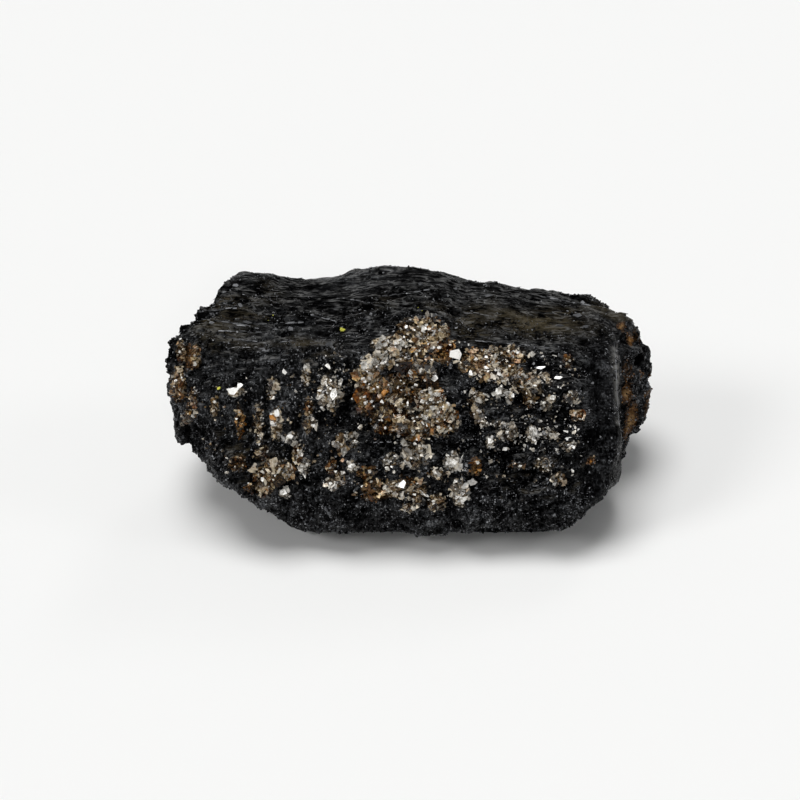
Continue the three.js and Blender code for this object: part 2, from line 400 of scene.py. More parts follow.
def micaColour(tree, place, tone, stain, liveliness):
    grains = cellNode(tree, wavered(tree, place, 0.5, 0.4), mica["grain"])
    cells = addNode(tree, "ShaderNodeSeparateColor", {0: grains})
    cloud = noiseNode(tree, place, 0.45, 4)
    clouded = spread(tree, cloud, 0.3, 0.7, -liveliness, liveliness)
    shifts = math2(tree, "ADD", clouded, spread(tree, cells.outputs[0], 0, 1, -liveliness, liveliness))
    stops = [
        (0.08, mica["shade"]), (0.3, mica["smoky"]), (0.5, mica["beige"]),
        (0.72, mica["silver"]), (0.9, mica["white"]),
    ]
    cleanStops = [
        (0.08, mica["cleanShade"]), (0.3, mica["cleanSmoky"]), (0.5, mica["cleanBeige"]),
        (0.72, mica["cleanSilver"]), (0.9, mica["white"]),
    ]
    lightness = math2(tree, "ADD", tone, shifts)
    clean, stained = ramp(tree, lightness, cleanStops), ramp(tree, lightness, stops)
    colour = mixColour(tree, spread(tree, stain, 0, 0.35), clean, stained)
    patchy = spread(tree, noiseNode(tree, place, 0.9), 0.25, 0.45)
    warm = math2(tree, "MULTIPLY", spread(tree, stain, 0, 1, 0.08, 1), patchy)
    deep = math2(tree, "ADD", warm, spread(tree, noiseNode(tree, place, 1.6, 3), 0.4, 0.6, -0.25, 0.25))
    tint = mixColour(tree, spread(tree, deep, 0.6, 0.95), mica["ochre"], mica["rust"])
    veiled = addNode(tree, "ShaderNodeMix", {0: warm}, data_type="RGBA", blend_type="MULTIPLY")
    tree.links.new(colour, veiled.inputs[6])
    tree.links.new(tint, veiled.inputs[7])
    return veiled.outputs[2]


def makeMica():
    material, tree, shader = newMaterial("micaFlakes")
    place = millimetres(tree)
    colour = micaColour(tree, place, attribute(tree, "tone"), attribute(tree, "stain"), 0.15)
    edges = math2(tree, "SINE", math2(tree, "MULTIPLY", attribute(tree, "layer"), 2 * math.pi), 0)
    shaded = addNode(tree, "ShaderNodeMix", {0: 1.0}, data_type="RGBA", blend_type="MULTIPLY")
    tree.links.new(colour, shaded.inputs[6])
    tree.links.new(spread(tree, edges, -1, 1, 0.45, 1.0), shaded.inputs[7])
    tree.links.new(shaded.outputs[2], shader.inputs["Base Color"])
    cloud = noiseNode(tree, place, 0.5, 3)
    tree.links.new(spread(tree, cloud, 0.3, 0.7, 0.06, 0.32), shader.inputs["Roughness"])
    leaves = noiseNode(tree, place, 0.3, 3, 0.6)
    bump = addNode(tree, "ShaderNodeBump", {"Strength": 0.8, "Distance": 0.06 * mm, "Height": leaves})
    tree.links.new(bump.outputs[0], shader.inputs["Normal"])
    gloss = spread(tree, attribute(tree, "stain"), 0.1, 0.8, 1.0, 0.25)
    tree.links.new(gloss, shader.inputs["Specular IOR Level"])
    return material


def makeIronStain():
    material, tree, shader = newMaterial("ironStain")
    place = millimetres(tree)
    cloud = noiseNode(tree, place, 0.8, 5)
    tone = math2(tree, "ADD", attribute(tree, "tone"), spread(tree, cloud, 0.3, 0.7, -0.2, 0.2))
    stops = [
        (0.15, (0.02, 0.011, 0.006)), (0.45, (0.09, 0.042, 0.016)),
        (0.72, (0.23, 0.105, 0.03)), (0.95, (0.36, 0.22, 0.09)),
    ]
    tree.links.new(ramp(tree, tone, stops), shader.inputs["Base Color"])
    shader.inputs["Roughness"].default_value = 0.75
    grit = noiseNode(tree, place, 0.1, 4, 0.7)
    bump = addNode(tree, "ShaderNodeBump", {"Strength": 0.8, "Distance": 0.06 * mm, "Height": grit})
    tree.links.new(bump.outputs[0], shader.inputs["Normal"])
    return material


blackStoneMaterial = makeBlackStone()
crystalMaterial = makeCrystalBlack()
micaMaterial = makeMica()
stainMaterial = makeIronStain()
print("materials made")


# the stone's surface

stoneSkin = {
    "voxel": 0.302,  # width of its squares, as fine as the limit on triangles lets it be
    "softening": 8,  # rounds of smoothing that take away the solid's faces
    "flat": 0.25,  # below this height the surface is the flat that it rests on
}


def fineCopy():
    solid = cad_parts["tourmaline"]
    holder = bpy.data.objects.new("stoneDraft", solid.data.copy())
    bpy.context.scene.collection.objects.link(holder)
    remesh = holder.modifiers.new("even", "REMESH")
    remesh.mode, remesh.voxel_size = "VOXEL", stoneSkin["voxel"] * mm
    soften = holder.modifiers.new("soft", "SMOOTH")
    soften.factor, soften.iterations = 0.5, stoneSkin["softening"]
    evaluated = holder.evaluated_get(bpy.context.evaluated_depsgraph_get())
    mesh = bpy.data.meshes.new_from_object(evaluated)
    bpy.data.objects.remove(holder)
    return mesh


# the smooth right corner in pixels of the view: it fades in or out over each pair
cornerView = {"left": (572, 598), "right": (618, 623), "above": (334, 350)}


def regionsOf(points, normals):  # how much each point belongs to each part of the stone, from 0 to 1
    x, y, z = points.T
    leftEnd = smooth(-x, 23.5, 29)
    lobe = smooth(x, 25.5, 28) * smooth(y, -3, 1)
    px, py = pixelsOf(points).T
    facing = np.einsum("ij,ij->i", normals, unit(eyePlace - points))
    shown = smooth(px, *cornerView["left"]) * (1 - smooth(px, *cornerView["right"]))
    shown = shown * smooth(py, *cornerView["above"]) * smooth(facing, -0.2, 0.1)
    unseen = smooth(x, 24, 26) * smooth(-y, -1, 2) * smooth(20 - z, 0, 3)
    corner = np.maximum(shown * (1 - lobe), unseen * (1 - lobe))
    top = smooth(normals[:, 2], 0.5, 0.82) * (1 - corner)
    return {"top": top, "leftEnd": leftEnd, "lobe": lobe, "corner": corner}


cracks = {  # dark furrows: the two ends of each in pixels of the photograph's view
    "width": 0.34,
    "depth": 0.55,
    "ends": [
        ((203, 322), (258, 327)), ((222, 337), (300, 343)), ((236, 330), (330, 336)),
        ((262, 316), (330, 326)), ((240, 356), (300, 358)), ((238, 366), (285, 369)),
        ((300, 300), (360, 306)), ((345, 318), (392, 314)), ((395, 282), (450, 292)),
        ((455, 300), (520, 309)), ((520, 312), (580, 320)), ((470, 325), (545, 337)),
        ((345, 392), (343, 425)), ((446, 368), (450, 408)), ((463, 398), (466, 440)),
        ((228, 402), (230, 452)), ((248, 398), (250, 446)), ((266, 400), (267, 440)),
        ((292, 400), (296, 440)), ((318, 412), (322, 452)), ((590, 452), (606, 440)),
        ((488, 455), (545, 452)), ((350, 500), (420, 512)), ((486, 470), (560, 474)),
        ((205, 345), (207, 400)), ((596, 360), (600, 420)), ((583, 385), (586, 430)),
        ((398, 434), (402, 470)), ((440, 440), (446, 480)), ((470, 480), (474, 510)),
        ((430, 345), (446, 362)), ((212, 300), (236, 318)),
    ],
}


# places where the outline stands out more (minus) or less: middle and half size in pixels, depth in mm
outlineShifts = [
    (203, 297, 14, 14, 1.7), (184, 320, 12, 9, 1.4), (172, 330, 8, 8, 1.4), (168, 346, 8, 8, 0.5),
    (246, 275, 12, 12, -0.7), (266, 275, 10, 10, -0.4), (320, 280, 16, 12, -0.5), (356, 269, 14, 12, -0.8),
    (418, 266, 12, 10, -0.5), (440, 267, 8, 10, -0.5), (471, 276, 14, 12, 0.5), (516, 285, 10, 10, 0.35),
    (571, 294, 14, 12, 0.75), (609, 304, 8, 10, -0.5), (632, 320, 10, 11, -1.1), (645, 341, 8, 8, 0.8),
    (650, 401, 9, 15, -1.1), (166, 380, 6, 6, 0.4), (167, 402, 8, 9, -1.3), (179, 440, 8, 8, -0.2),
    (190, 462, 8, 8, -1.0),
]

# dents, and bumps with a minus: middle and half size in pixels, depth in mm
dents = [
    (215, 298, 5, 3, 1.0), (226, 303, 10, 4, 0.8), (246, 312, 9, 2.5, 0.5), (447, 374, 6, 10, 0.8),
    (424, 387, 14, 4, 0.6), (517, 400, 6, 6, 0.6), (266, 410, 3, 20, 0.5), (250, 420, 3, 18, 0.5),
    (296, 425, 4, 14, 0.5), (345, 412, 6, 18, 0.5),
    (278, 484, 10, 3, 0.6), (602, 452, 9, 3, 0.5), (472, 440, 5, 18, 0.5), (310, 288, 16, 5, 0.4),
]


def roundSpot(pixels, middle, half):  # 1 in the middle of a soft round spot of the view
    return np.exp(-(((pixels - middle) / half) ** 2).sum(axis=1))


def crackShare(points, start, end):  # 1 along a wandering crack between two places, falling to 0
    line = end - start
    share = np.clip((points - start) @ line / (line @ line), 0, 1)
    wander = 0.35 * np.sin(share * 9 + start[0]) * np.sin(share * math.pi)
    nearest = start + share[:, None] * line + wander[:, None] * np.array([0, 0.4, 0.6])
    away = np.linalg.norm(points - nearest, axis=1)
    taper = np.sin(np.clip(share, 0.04, 0.96) * math.pi) ** 0.5
    return taper * np.exp(-(away / cracks["width"]) ** 2)


def crackDepth(points, tree):  # cracks, dents and shifts of the outline, in mm
    depth = np.zeros(len(points))
    for ends in cracks["ends"]:
        found = [onStone(*end, tree) for end in ends]
        if None not in found:
            depth = np.maximum(depth, crackShare(points, found[0][0], found[1][0]))
    depth = depth * cracks["depth"]
    for px, py, wide, high, deep in dents:
        depth = depth + deep * patchShare(points, tree, (px, py), (wide, high))
    pixels = pixelsOf(points)
    for px, py, wide, high, deep in outlineShifts:
        depth = depth + deep * roundSpot(pixels, (px, py), (wide, high))
    return depth


farBand = (8, 26)  # the far side's own forms fade in over these pixels below the outline


def behindShare(points, normals):  # 1 on the far side, 0 in view and along the outline
    pixels = pixelsOf(points)
    columns = pixels[:, 0].astype(int)
    outline = np.full(camera["side"], float(camera["side"]))
    np.minimum.at(outline, columns, pixels[:, 1])
    away = -np.einsum("ij,ij->i", normals, unit(eyePlace - points))
    return smooth(away, 0.15, 0.45) * smooth(pixels[:, 1] - outline[columns], *farBand)


relief = {  # heights of the stone's forms in mm
    "swirl": 1.9,
    "lumps": (0.34, 0.26),
    "strokes": (0.4, 0.36),
    "hollows": 0.55,
    "terrace": 0.95,
    "step": 1.15,  # height of one terrace's layer
    "columns": 0.42,
    "grooves": 0.6,
    "crumbs": (0.3, 0.24),
    "pits": 0.5,
    "knobs": (0.8, 0.4),
    "broken": 1.5,
    "striations": (0.07, 0.1),
}


def reliefOf(points, normals, areas):
    swirl = np.array([noise.noise_vector(p) for p in (points / 8).tolist()])
    warped = points + relief["swirl"] * swirl
    top, corner, leftEnd, lobe = areas["top"], areas["corner"], areas["leftEnd"], areas["lobe"]
    sides = (1 - top) * (1 - corner)
    rim = 1 - 0.6 * top * smooth(points[:, 1], 0, 7)  # calmer towards the far edge of the top
    lumps = relief["lumps"][0] * noiseAt(points, 4.5) + relief["lumps"][1] * noiseAt(points, 2.1)
    strokes = relief["strokes"][0] * ridgesAt(warped, (8, 1.3, 1.3))
    strokes = strokes + relief["strokes"][1] * ridgesAt(warped, (4.5, 0.75, 0.75), 5)
    hollows = -relief["hollows"] * smooth(noiseAt(warped, (5, 1.9, 1.9), 8), 0.1, 0.45)
    level = warped[:, 2] + 0.35 * warped[:, 1] + 1.1 * noiseAt(warped, (6, 1.5, 1.5), 12)
    part = level / relief["step"] % 1
    terraces = relief["terrace"] * (smooth(part, 0.0, 0.7) - smooth(part, 0.75, 1.0)) - 0.35
    columns = relief["columns"] * noiseAt(warped, (1.9, 1.9, 9))
    columns = columns - relief["grooves"] * ridgesAt(warped, (3.1, 3.1, 16), 3) ** 3
    crumbs = relief["crumbs"][0] * facetsAt(points, 1.35, 1.1, 1)
    crumbs = crumbs + relief["crumbs"][1] * facetsAt(points, 0.8, 1.1, 2)
    pits = -relief["pits"] * smooth(noiseAt(points, 1.2, 7), 0.2, 0.55)
    knobs = relief["knobs"][0] * noiseAt(points, 2.3, 9) + relief["knobs"][1] * facetsAt(points, 1.6, 1.1, 3)
    broken = relief["broken"] * facetsAt(points, (6, 6, 8), 0.9, 7) * behindShare(points, normals)
    striations = relief["striations"][0] * noiseAt(points, (0.5, 0.5, 9), 2)
    striations = striations + relief["striations"][1] * noiseAt(points, (1.6, 1.6, 12), 4)
    calm = 1 - 0.85 * corner
    height = lumps * calm * rim + (strokes + hollows - 0.1) * top * rim + (columns + pits) * sides
    height = height + terraces * areas["shoulder"] + broken
    height = height + crumbs * calm * (1 - 0.82 * top) * (1 - 0.5 * smooth(points[:, 1], -2, 6))
    return height + knobs * np.maximum(leftEnd, lobe) * calm + striations * corner


boxGap = 0.02  # how far every piece stays inside the solid's own box
liftGap = 0.03  # the same for the skin, before it is clipped


def withinBox(points, normals, lift):  # eases each lift so that it ends inside the solid's own box
    low, high = np.array(cadBox[0]) / mm + liftGap, np.array(cadBox[1]) / mm - liftGap
    toFace = np.where(normals > 0, high - points, points - low) / np.maximum(np.abs(normals), 0.05)
    room = np.maximum(toFace.min(axis=1), 0.01)
    return np.where(lift > 0, room * (1 - np.exp(-lift / room)), lift)


def fitInside(points):  # keeps every point within the solid's own box
    low, high = np.array(cadBox[0]) / mm, np.array(cadBox[1]) / mm
    return np.clip(points, low + boxGap, high - boxGap)


def treeOf(mesh):
    points = [v.co / mm for v in mesh.vertices]
    return BVHTree.FromPolygons(points, [tuple(f.vertices) for f in mesh.polygons])


# places on the front are given as pixels of the photograph's view, then found on the stone

def onStone(px, py, tree):
    half = camera["side"] / 2
    ray = ahead + sideways * (px - half) / viewReach + upward * (half - py) / viewReach
    hit, normal, _, _ = tree.ray_cast(Vector(eyePlace), Vector(ray).normalized())
    if hit is None:
        return None
    return np.array(hit), np.array(normal)


def pixelsOf(points):  # where points lie in the photograph's view
    offset = points - eyePlace
    depth, rise = offset @ ahead, offset @ upward
    half = camera["side"] / 2
    return np.stack([half + viewReach * offset[:, 0] / depth, half - viewReach * rise / depth], axis=1)


# patches of mica: middle and half size in pixels, flakes, smallest and largest flake in mm, tone, rust
micaPatches = [
    # crown and heart of the front
    (424, 331, 23, 12, 130, 0.7, 1.7, 0.58, 0.5), (390, 345, 16, 8, 60, 0.7, 1.5, 0.7, 0.4),
    (432, 349, 22, 12, 110, 0.6, 1.5, 0.62, 0.75), (377, 362, 12, 8, 60, 0.5, 1.3, 0.75, 0.25),
    (404, 359, 14, 9, 40, 1.0, 2.3, 0.46, 0.45), (367, 377, 12, 10, 40, 0.9, 2.0, 0.66, 0.5),
    (374, 397, 18, 17, 130, 0.8, 1.9, 0.54, 0.9), (422, 372, 13, 8, 40, 0.9, 1.9, 0.48, 0.5),
    (400, 389, 20, 14, 110, 0.7, 1.7, 0.42, 0.6), (434, 402, 18, 12, 130, 0.6, 1.5, 0.68, 0.4),
    (398, 411, 13, 10, 50, 0.9, 2.0, 0.56, 0.75), (440, 421, 17, 12, 100, 0.6, 1.5, 0.58, 0.5),
    (412, 429, 20, 12, 100, 0.7, 1.7, 0.5, 0.55), (385, 422, 13, 11, 60, 0.6, 1.3, 0.4, 1.0),
    # foot of the front
    (416, 453, 12, 14, 46, 1.0, 2.4, 0.46, 0.2), (392, 462, 9, 9, 26, 0.8, 1.6, 0.5, 0.2),
    (452, 462, 8, 9, 34, 0.7, 1.7, 0.78, 0.05), (460, 492, 8, 13, 40, 0.6, 1.6, 0.66, 0.15),
    (372, 489, 10, 11, 34, 0.5, 1.3, 0.5, 0.8), (398, 488, 12, 9, 40, 0.6, 1.5, 0.6, 0.35),
    (417, 493, 8, 13, 34, 0.7, 1.5, 0.45, 0.35), (436, 503, 9, 8, 26, 0.7, 1.5, 0.52, 0.35),
    (436, 474, 8, 6, 18, 0.7, 1.5, 0.5, 0.3), (476, 466, 5, 10, 14, 0.6, 1.3, 0.42, 0.95),
    (352, 466, 6, 6, 14, 0.5, 1.3, 0.65, 0.1), (365, 472, 8, 5, 14, 0.7, 1.3, 0.42, 1.0),
    (340, 479, 5, 8, 14, 0.6, 1.3, 0.45, 0.5), (331, 467, 5, 7, 12, 0.6, 1.3, 0.4, 0.8),
    (331, 484, 6, 5, 10, 0.9, 1.6, 0.48, 0.2), (341, 442, 5, 11, 24, 0.6, 1.4, 0.42, 0.4),
    (352, 440, 5, 8, 14, 0.5, 1.2, 0.4, 0.1), (408, 508, 7, 4, 14, 0.5, 1.2, 0.5, 0.3),
    # band to the right
    (478, 362, 20, 13, 95, 0.5, 1.2, 0.54, 0.6), (506, 356, 21, 9, 80, 0.5, 1.3, 0.5, 0.35),
    (500, 374, 24, 8, 80, 0.5, 1.4, 0.54, 0.45), (530, 383, 20, 10, 70, 0.6, 1.6, 0.46, 0.35),
    (568, 361, 5, 5, 12, 0.6, 1.2, 0.5, 0.95),
    # scatter to the right
    (478, 398, 8, 8, 24, 0.8, 1.7, 0.54, 0.25), (479, 417, 6, 9, 22, 0.7, 1.5, 0.42, 0.25),
    (500, 392, 6, 5, 14, 0.7, 1.6, 0.78, 0.05), (512, 398, 5, 8, 16, 0.6, 1.3, 0.5, 0.1),
    (508, 433, 9, 7, 24, 0.7, 1.5, 0.44, 0.12), (491, 442, 5, 5, 12, 0.6, 1.2, 0.68, 0.05),
    (533, 434, 6, 9, 18, 0.7, 1.5, 0.68, 0.05), (550, 434, 6, 5, 14, 0.6, 1.3, 0.5, 0.1),
    (567, 446, 8, 4, 14, 0.5, 1.1, 0.5, 0.1), (529, 397, 6, 8, 16, 0.8, 1.6, 0.46, 0.45),
    (547, 402, 6, 7, 16, 0.6, 1.4, 0.58, 0.1), (571, 398, 7, 6, 14, 0.7, 1.5, 0.5, 0.25),
    (578, 415, 8, 5, 18, 0.7, 1.4, 0.6, 0.45), (544, 466, 10, 6, 18, 0.4, 1.1, 0.45, 0.1),
    (558, 479, 7, 5, 14, 0.6, 1.4, 0.48, 0.2), (514, 466, 8, 3, 8, 0.5, 1.1, 0.38, 0.95),
    (591, 461, 4, 4, 6, 0.4, 0.9, 0.4, 1.0), (498, 424, 12, 2, 12, 0.5, 1.1, 0.6, 0.1),
    # upright streaks to the left
    (330, 394, 11, 15, 50, 0.8, 1.8, 0.66, 0.15), (306, 376, 4, 9, 12, 0.5, 1.1, 0.6, 0.1),
    (273, 382, 3, 5, 8, 0.8, 1.4, 0.5, 0.35), (270, 394, 5, 6, 10, 0.9, 1.7, 0.56, 0.2),
    (309, 409, 4, 9, 16, 0.5, 1.1, 0.4, 0.85), (309, 424, 5, 8, 16, 0.6, 1.2, 0.46, 0.4),
    (259, 423, 4, 19, 40, 0.5, 1.1, 0.46, 0.3), (276, 424, 5, 18, 40, 0.6, 1.3, 0.66, 0.4),
    (291, 438, 7, 5, 10, 0.9, 1.8, 0.64, 0.05), (240, 421, 4, 14, 26, 0.5, 1.1, 0.56, 1.0),
    (215, 407, 4, 9, 14, 0.5, 1.1, 0.55, 0.5), (236, 392, 9, 5, 12, 0.8, 1.6, 0.7, 0.1),
    (193, 404, 4, 15, 34, 0.5, 1.1, 0.52, 0.6), (181, 352, 4, 11, 26, 0.5, 1.1, 0.52, 0.6),
    (178, 384, 7, 16, 60, 0.5, 1.2, 0.52, 0.6), (196, 357, 4, 11, 24, 0.5, 1.1, 0.52, 0.6),
    (186, 418, 4, 8, 14, 0.5, 1.1, 0.52, 0.4),
    # lower left
    (275, 474, 20, 10, 80, 0.9, 2.2, 0.56, 0.6), (264, 488, 8, 7, 26, 0.8, 1.7, 0.46, 0.7),
    (298, 454, 5, 8, 16, 0.9, 1.9, 0.56, 0.5), (304, 467, 5, 7, 14, 0.8, 1.6, 0.56, 0.1),
    (284, 493, 6, 4, 6, 1.0, 1.8, 0.66, 0.05), (249, 488, 5, 4, 8, 0.6, 1.2, 0.48, 0.75),
    (262, 453, 6, 8, 18, 0.6, 1.2, 0.42, 0.5), (238, 463, 10, 8, 20, 0.3, 0.8, 0.3, 0.5),
]

# small flakes strewn over the front, without a bed, told in the same way
strewnMica = [
    (520, 430, 70, 55, 70, 0.25, 0.8, 0.5, 0.1), (290, 425, 90, 55, 130, 0.2, 0.7, 0.42, 0.25),
    (400, 440, 70, 60, 110, 0.25, 0.8, 0.45, 0.25), (548, 370, 30, 18, 26, 0.3, 0.8, 0.6, 0.15),
    (340, 370, 26, 20, 34, 0.3, 0.8, 0.6, 0.1), (545, 436, 34, 16, 50, 0.2, 0.7, 0.65, 0.05),
    (500, 440, 34, 14, 20, 0.2, 0.6, 0.65, 0.05), (530, 410, 40, 16, 24, 0.2, 0.6, 0.6, 0.1),
]

# single flakes turned to mirror a light, their pale colour a painted highlight: middle, width and height in
# pixels
brightFlakes = [
    (456, 354, 12, 11), (434, 379, 9, 7), (402, 486, 11, 10), (233, 391, 13, 8), (541, 369, 10, 4),
    (558, 379, 9, 4), (240, 387, 7, 7), (399, 349, 8, 6), (500, 392, 9, 7), (431, 394, 7, 6),
    (471, 374, 6, 6), (532, 354, 6, 6), (518, 354, 5, 4),
    (329, 367, 8, 6), (334, 395, 7, 11), (321, 397, 7, 9), (308, 365, 5, 6), (284, 371, 5, 7),
    (375, 362, 10, 7), (392, 343, 5, 5), (403, 343, 5, 6), (383, 340, 9, 7), (424, 330, 8, 5),
    (277, 413, 5, 9), (480, 400, 8, 7), (500, 374, 5, 4), (486, 369, 6, 3), (523, 374, 5, 4),
    (533, 429, 6, 5), (490, 441, 7, 6), (552, 398, 6, 6), (433, 408, 8, 5), (424, 418, 8, 7),
    (447, 405, 6, 4), (453, 462, 9, 6), (463, 499, 8, 5), (352, 466, 7, 6), (437, 395, 6, 5),
    (410, 372, 5, 5), (572, 471, 4, 4), (388, 468, 5, 4), (366, 404, 5, 5), (504, 448, 6, 4),
    (566, 431, 6, 3), (512, 395, 4, 5), (290, 437, 7, 5), (340, 384, 5, 6), (284, 493, 9, 6),
    (302, 466, 7, 5),
]
purelyBright = 7  # this many, from the first, mirror a light fully and are painted white
sparks = {"share": 0.17, "size": (1.6, 4.6)}  # painted highlights: sparks for each flake of a patch, and their size in pixels

# black stone that shows through the mica: middle and half size in pixels, share from 0 to 1
blackGaps = [
    (452, 387, 7, 17, 1.0), (424, 386, 17, 5, 0.75), (385, 366, 5, 3, 0.8), (428, 357, 6, 4, 0.6),
    (488, 388, 10, 6, 0.9), (517, 398, 6, 8, 1.0), (545, 388, 7, 4, 0.8), (440, 452, 6, 14, 0.9),
    (402, 436, 8, 4, 0.7), (276, 484, 8, 3, 0.7), (366, 384, 4, 14, 0.7), (472, 440, 8, 22, 1.0),
    (350, 410, 9, 22, 1.0), (266, 408, 3, 22, 0.9), (395, 470, 6, 8, 0.7), (428, 476, 5, 9, 0.7),
    (412, 366, 6, 4, 0.5), (372, 394, 5, 3, 0.5), (448, 344, 4, 5, 0.4), (405, 395, 6, 3, 0.5),
]


def patchShare(points, tree, at, half, grow=1.25):  # how much each point lies in a patch of the view
    found = onStone(*at, tree)
    if found is None:
        return np.zeros(len(points))
    wide, high = (grow * h / viewScale for h in half)
    offset = points - found[0]
    across = (offset[:, 0] / wide) ** 2
    other = (offset[:, 1] ** 2 + offset[:, 2] ** 2) / high ** 2
    return np.exp(-1.2 * (across + other))


def bedOf(points, tree):  # how much each point is bedded in mica, and the tone of the bed, made darker as painted shade between the flakes
    bed, tone = np.zeros(len(points)), np.full(len(points), 0.3)
    for px, py, wide, high, _, _, _, patchTone, _ in micaPatches:
        share = patchShare(points, tree, (px, py), (wide, high))
        tone = np.where(share > bed, patchTone, tone)
        bed = np.maximum(bed, share)
    for px, py, wide, high, strength in blackGaps:
        bed = bed * (1 - strength * patchShare(points, tree, (px, py), (wide, high), 1.0))
    # the bed is 0.2 darker than its patch: painted shade between the flakes
    return bed + 0.3 * noiseAt(points, 1.1, 21) * smooth(bed, 0.05, 0.3), tone - 0.2


# where the layers of the stone break into steps: middle and half size in pixels
shoulder = (262, 331), (58, 15)


def shapeStone(mesh):
    points, normals, tree = pointsOf(mesh), normalsOf(mesh), treeOf(mesh)
    areas = regionsOf(points, normals)
    areas["shoulder"] = patchShare(points, tree, *shoulder)
    bed, bedTone = bedOf(points, tree)
    plates = 0.2 + 0.5 * facetsAt(points, 0.9, 1.3, 5) + 0.25 * noiseAt(points, 1.6, 22)
    raised = smooth(bed, 0.3, 0.5) * plates
    clear = smooth(points[:, 2], 0.3, 2.2)
    height = reliefOf(points, normals, areas) * (1 - 0.5 * smooth(bed, 0.3, 0.5)) + raised
    height = height - crackDepth(points, tree)
    moved = points + normals * withinBox(points, normals, height * clear)[:, None]
    resting = points[:, 2] < stoneSkin["flat"]
    moved[:, 2] = np.where(resting, 0, np.maximum(moved[:, 2], 0))
    fitted = fitInside(moved)
    fitted[:, 2] = np.where(resting, 0, fitted[:, 2])
    mesh.vertices.foreach_set("co", (fitted * mm).ravel())
    mesh.update()
    return height, bed, bedTone


stoneMesh = fineCopy()
stoneHeight, stoneBed, stoneBedTone = shapeStone(stoneMesh)
stonePoints, stoneNormals = pointsOf(stoneMesh), normalsOf(stoneMesh)
stoneAreas = regionsOf(stonePoints, stoneNormals)
stoneTree = treeOf(stoneMesh)
print("stone shaped:", len(stoneMesh.polygons), "faces")


# rust-brown stain, bare of flakes: middle and half size in pixels, strength from 0 to 1
rustSpots = [
    (446, 352, 9, 13, 1.0), (405, 368, 5, 4, 1.0), (385, 422, 16, 10, 0.9), (370, 402, 14, 14, 0.85),
    (430, 382, 14, 14, 0.6), (478, 362, 16, 10, 0.75), (519, 360, 6, 4, 0.8), (506, 376, 14, 5, 0.5),
    (443, 423, 8, 6, 0.9), (355, 376, 3, 5, 0.9), (240, 422, 4, 13, 0.9), (274, 478, 17, 12, 0.45),
    (308, 405, 3, 6, 0.8), (190, 357, 9, 14, 0.8), (179, 388, 5, 18, 0.75), (190, 405, 6, 20, 0.6),
    (375, 494, 18, 8, 0.7), (364, 472, 8, 5, 0.8), (476, 466, 5, 8, 0.8), (514, 466, 8, 2, 0.8),
    (630, 421, 7, 32, 1.0), (626, 393, 6, 10, 1.0), (622, 327, 8, 6, 0.9), (630, 340, 5, 8, 0.8),
    (644, 374, 8, 10, 0.7), (568, 364, 5, 5, 0.7), (592, 461, 3, 4, 0.8), (577, 416, 7, 6, 0.6),
    (249, 490, 6, 4, 0.6), (228, 460, 12, 10, 0.35), (547, 500, 10, 3, 0.3), (405, 480, 22, 10, 0.45),
]

# small pale facets on the black stone, painted highlights: middle and half size in pixels, paleness from 0 to
# 1
highlightFacets = [
    (265, 350, 9, 3, 0.75), (235, 285, 5, 2, 0.8), (224, 292, 4, 2, 0.6), (275, 329, 6, 2, 0.5),
    (289, 329, 6, 3, 0.7), (240, 306, 5, 3, 0.5), (582, 303, 5, 3, 0.7), (576, 315, 9, 2, 0.5),
    (455, 289, 5, 2, 0.5), (212, 323, 5, 2, 0.5), (328, 319, 9, 1.5, 0.7), (262, 357, 8, 2, 0.4),
    (585, 327, 6, 3, 0.4), (300, 321, 8, 1, 0.4), (330, 345, 7, 3, 0.3), (420, 284, 4, 2, 0.35),
    (488, 296, 6, 2, 0.4), (560, 326, 10, 2, 0.3), (247, 322, 8, 1.5, 0.4), (232, 337, 10, 1.5, 0.3),
]
sliver = [(614, 342), (616, 365), (617, 389), (618, 410), (619, 425)]  # edge of the right corner, painted pale as a highlight

# olive-brown film on the black stone: middle and half size in pixels, strength from 0 to 1
brownSpots = [
    (226, 303, 12, 6, 1.0), (530, 322, 46, 14, 0.8), (440, 307, 26, 5, 0.3), (205, 322, 8, 5, 0.5),
    (250, 345, 60, 4, 0.25), (560, 312, 24, 8, 0.4), (470, 335, 20, 6, 0.3), (262, 316, 12, 3, 0.4),
]

# painted light and shade, lighter and darker parts of the black stone: middle and half size in pixels,
# strength from -1 to 1
lightAndShadeSpots = [
    (262, 406, 88, 38, 1.0), (535, 435, 58, 50, -0.9), (545, 318, 60, 18, 0.35), (200, 372, 24, 40, 0.3),
    (300, 310, 80, 24, -0.35), (430, 285, 40, 14, -0.1), (598, 400, 18, 66, 0.4), (400, 526, 160, 14, 0.5),
]


# painted light and shade: how much lighter or darker each point is made
def lightAndShadeShare(points):
    pixels = pixelsOf(points)
    share = np.zeros(len(points))
    for px, py, wide, high, strength in lightAndShadeSpots:
        share = share + strength * roundSpot(pixels, (px, py), (wide, high))
    return np.clip(share, -1, 1) * smooth(-points[:, 1], -12, -4)


def spotShare(points, spots):
    share = np.zeros(len(points))
    for px, py, wide, high, strength in spots:
        share = np.maximum(share, strength * patchShare(points, stoneTree, (px, py), (wide, high)))
    return share


def edgeHighlightShare(points):  # 1 along the right corner's edge, where a highlight is painted
    found = np.array([onStone(px, py, stoneTree)[0] for px, py in sliver])
    steps = np.linspace(0, len(found) - 1, 60)
    line = np.stack([np.interp(steps, range(len(found)), found[:, k]) for k in range(3)], axis=1)
    away = np.linalg.norm(points[:, None] - line[None], axis=2).min(axis=1)
    radius = 0.28 + 0.25 * smooth(points[:, 2], 9, 17)
    facing = smooth(np.einsum("ij,ij->i", stoneNormals, unit(eyePlace - points)), 0.1, 0.4)
    return facing * np.exp(-(away / radius) ** 2) * smooth(noiseAt(points, (0.6, 0.6, 1.4), 31), -0.45, 0.3)


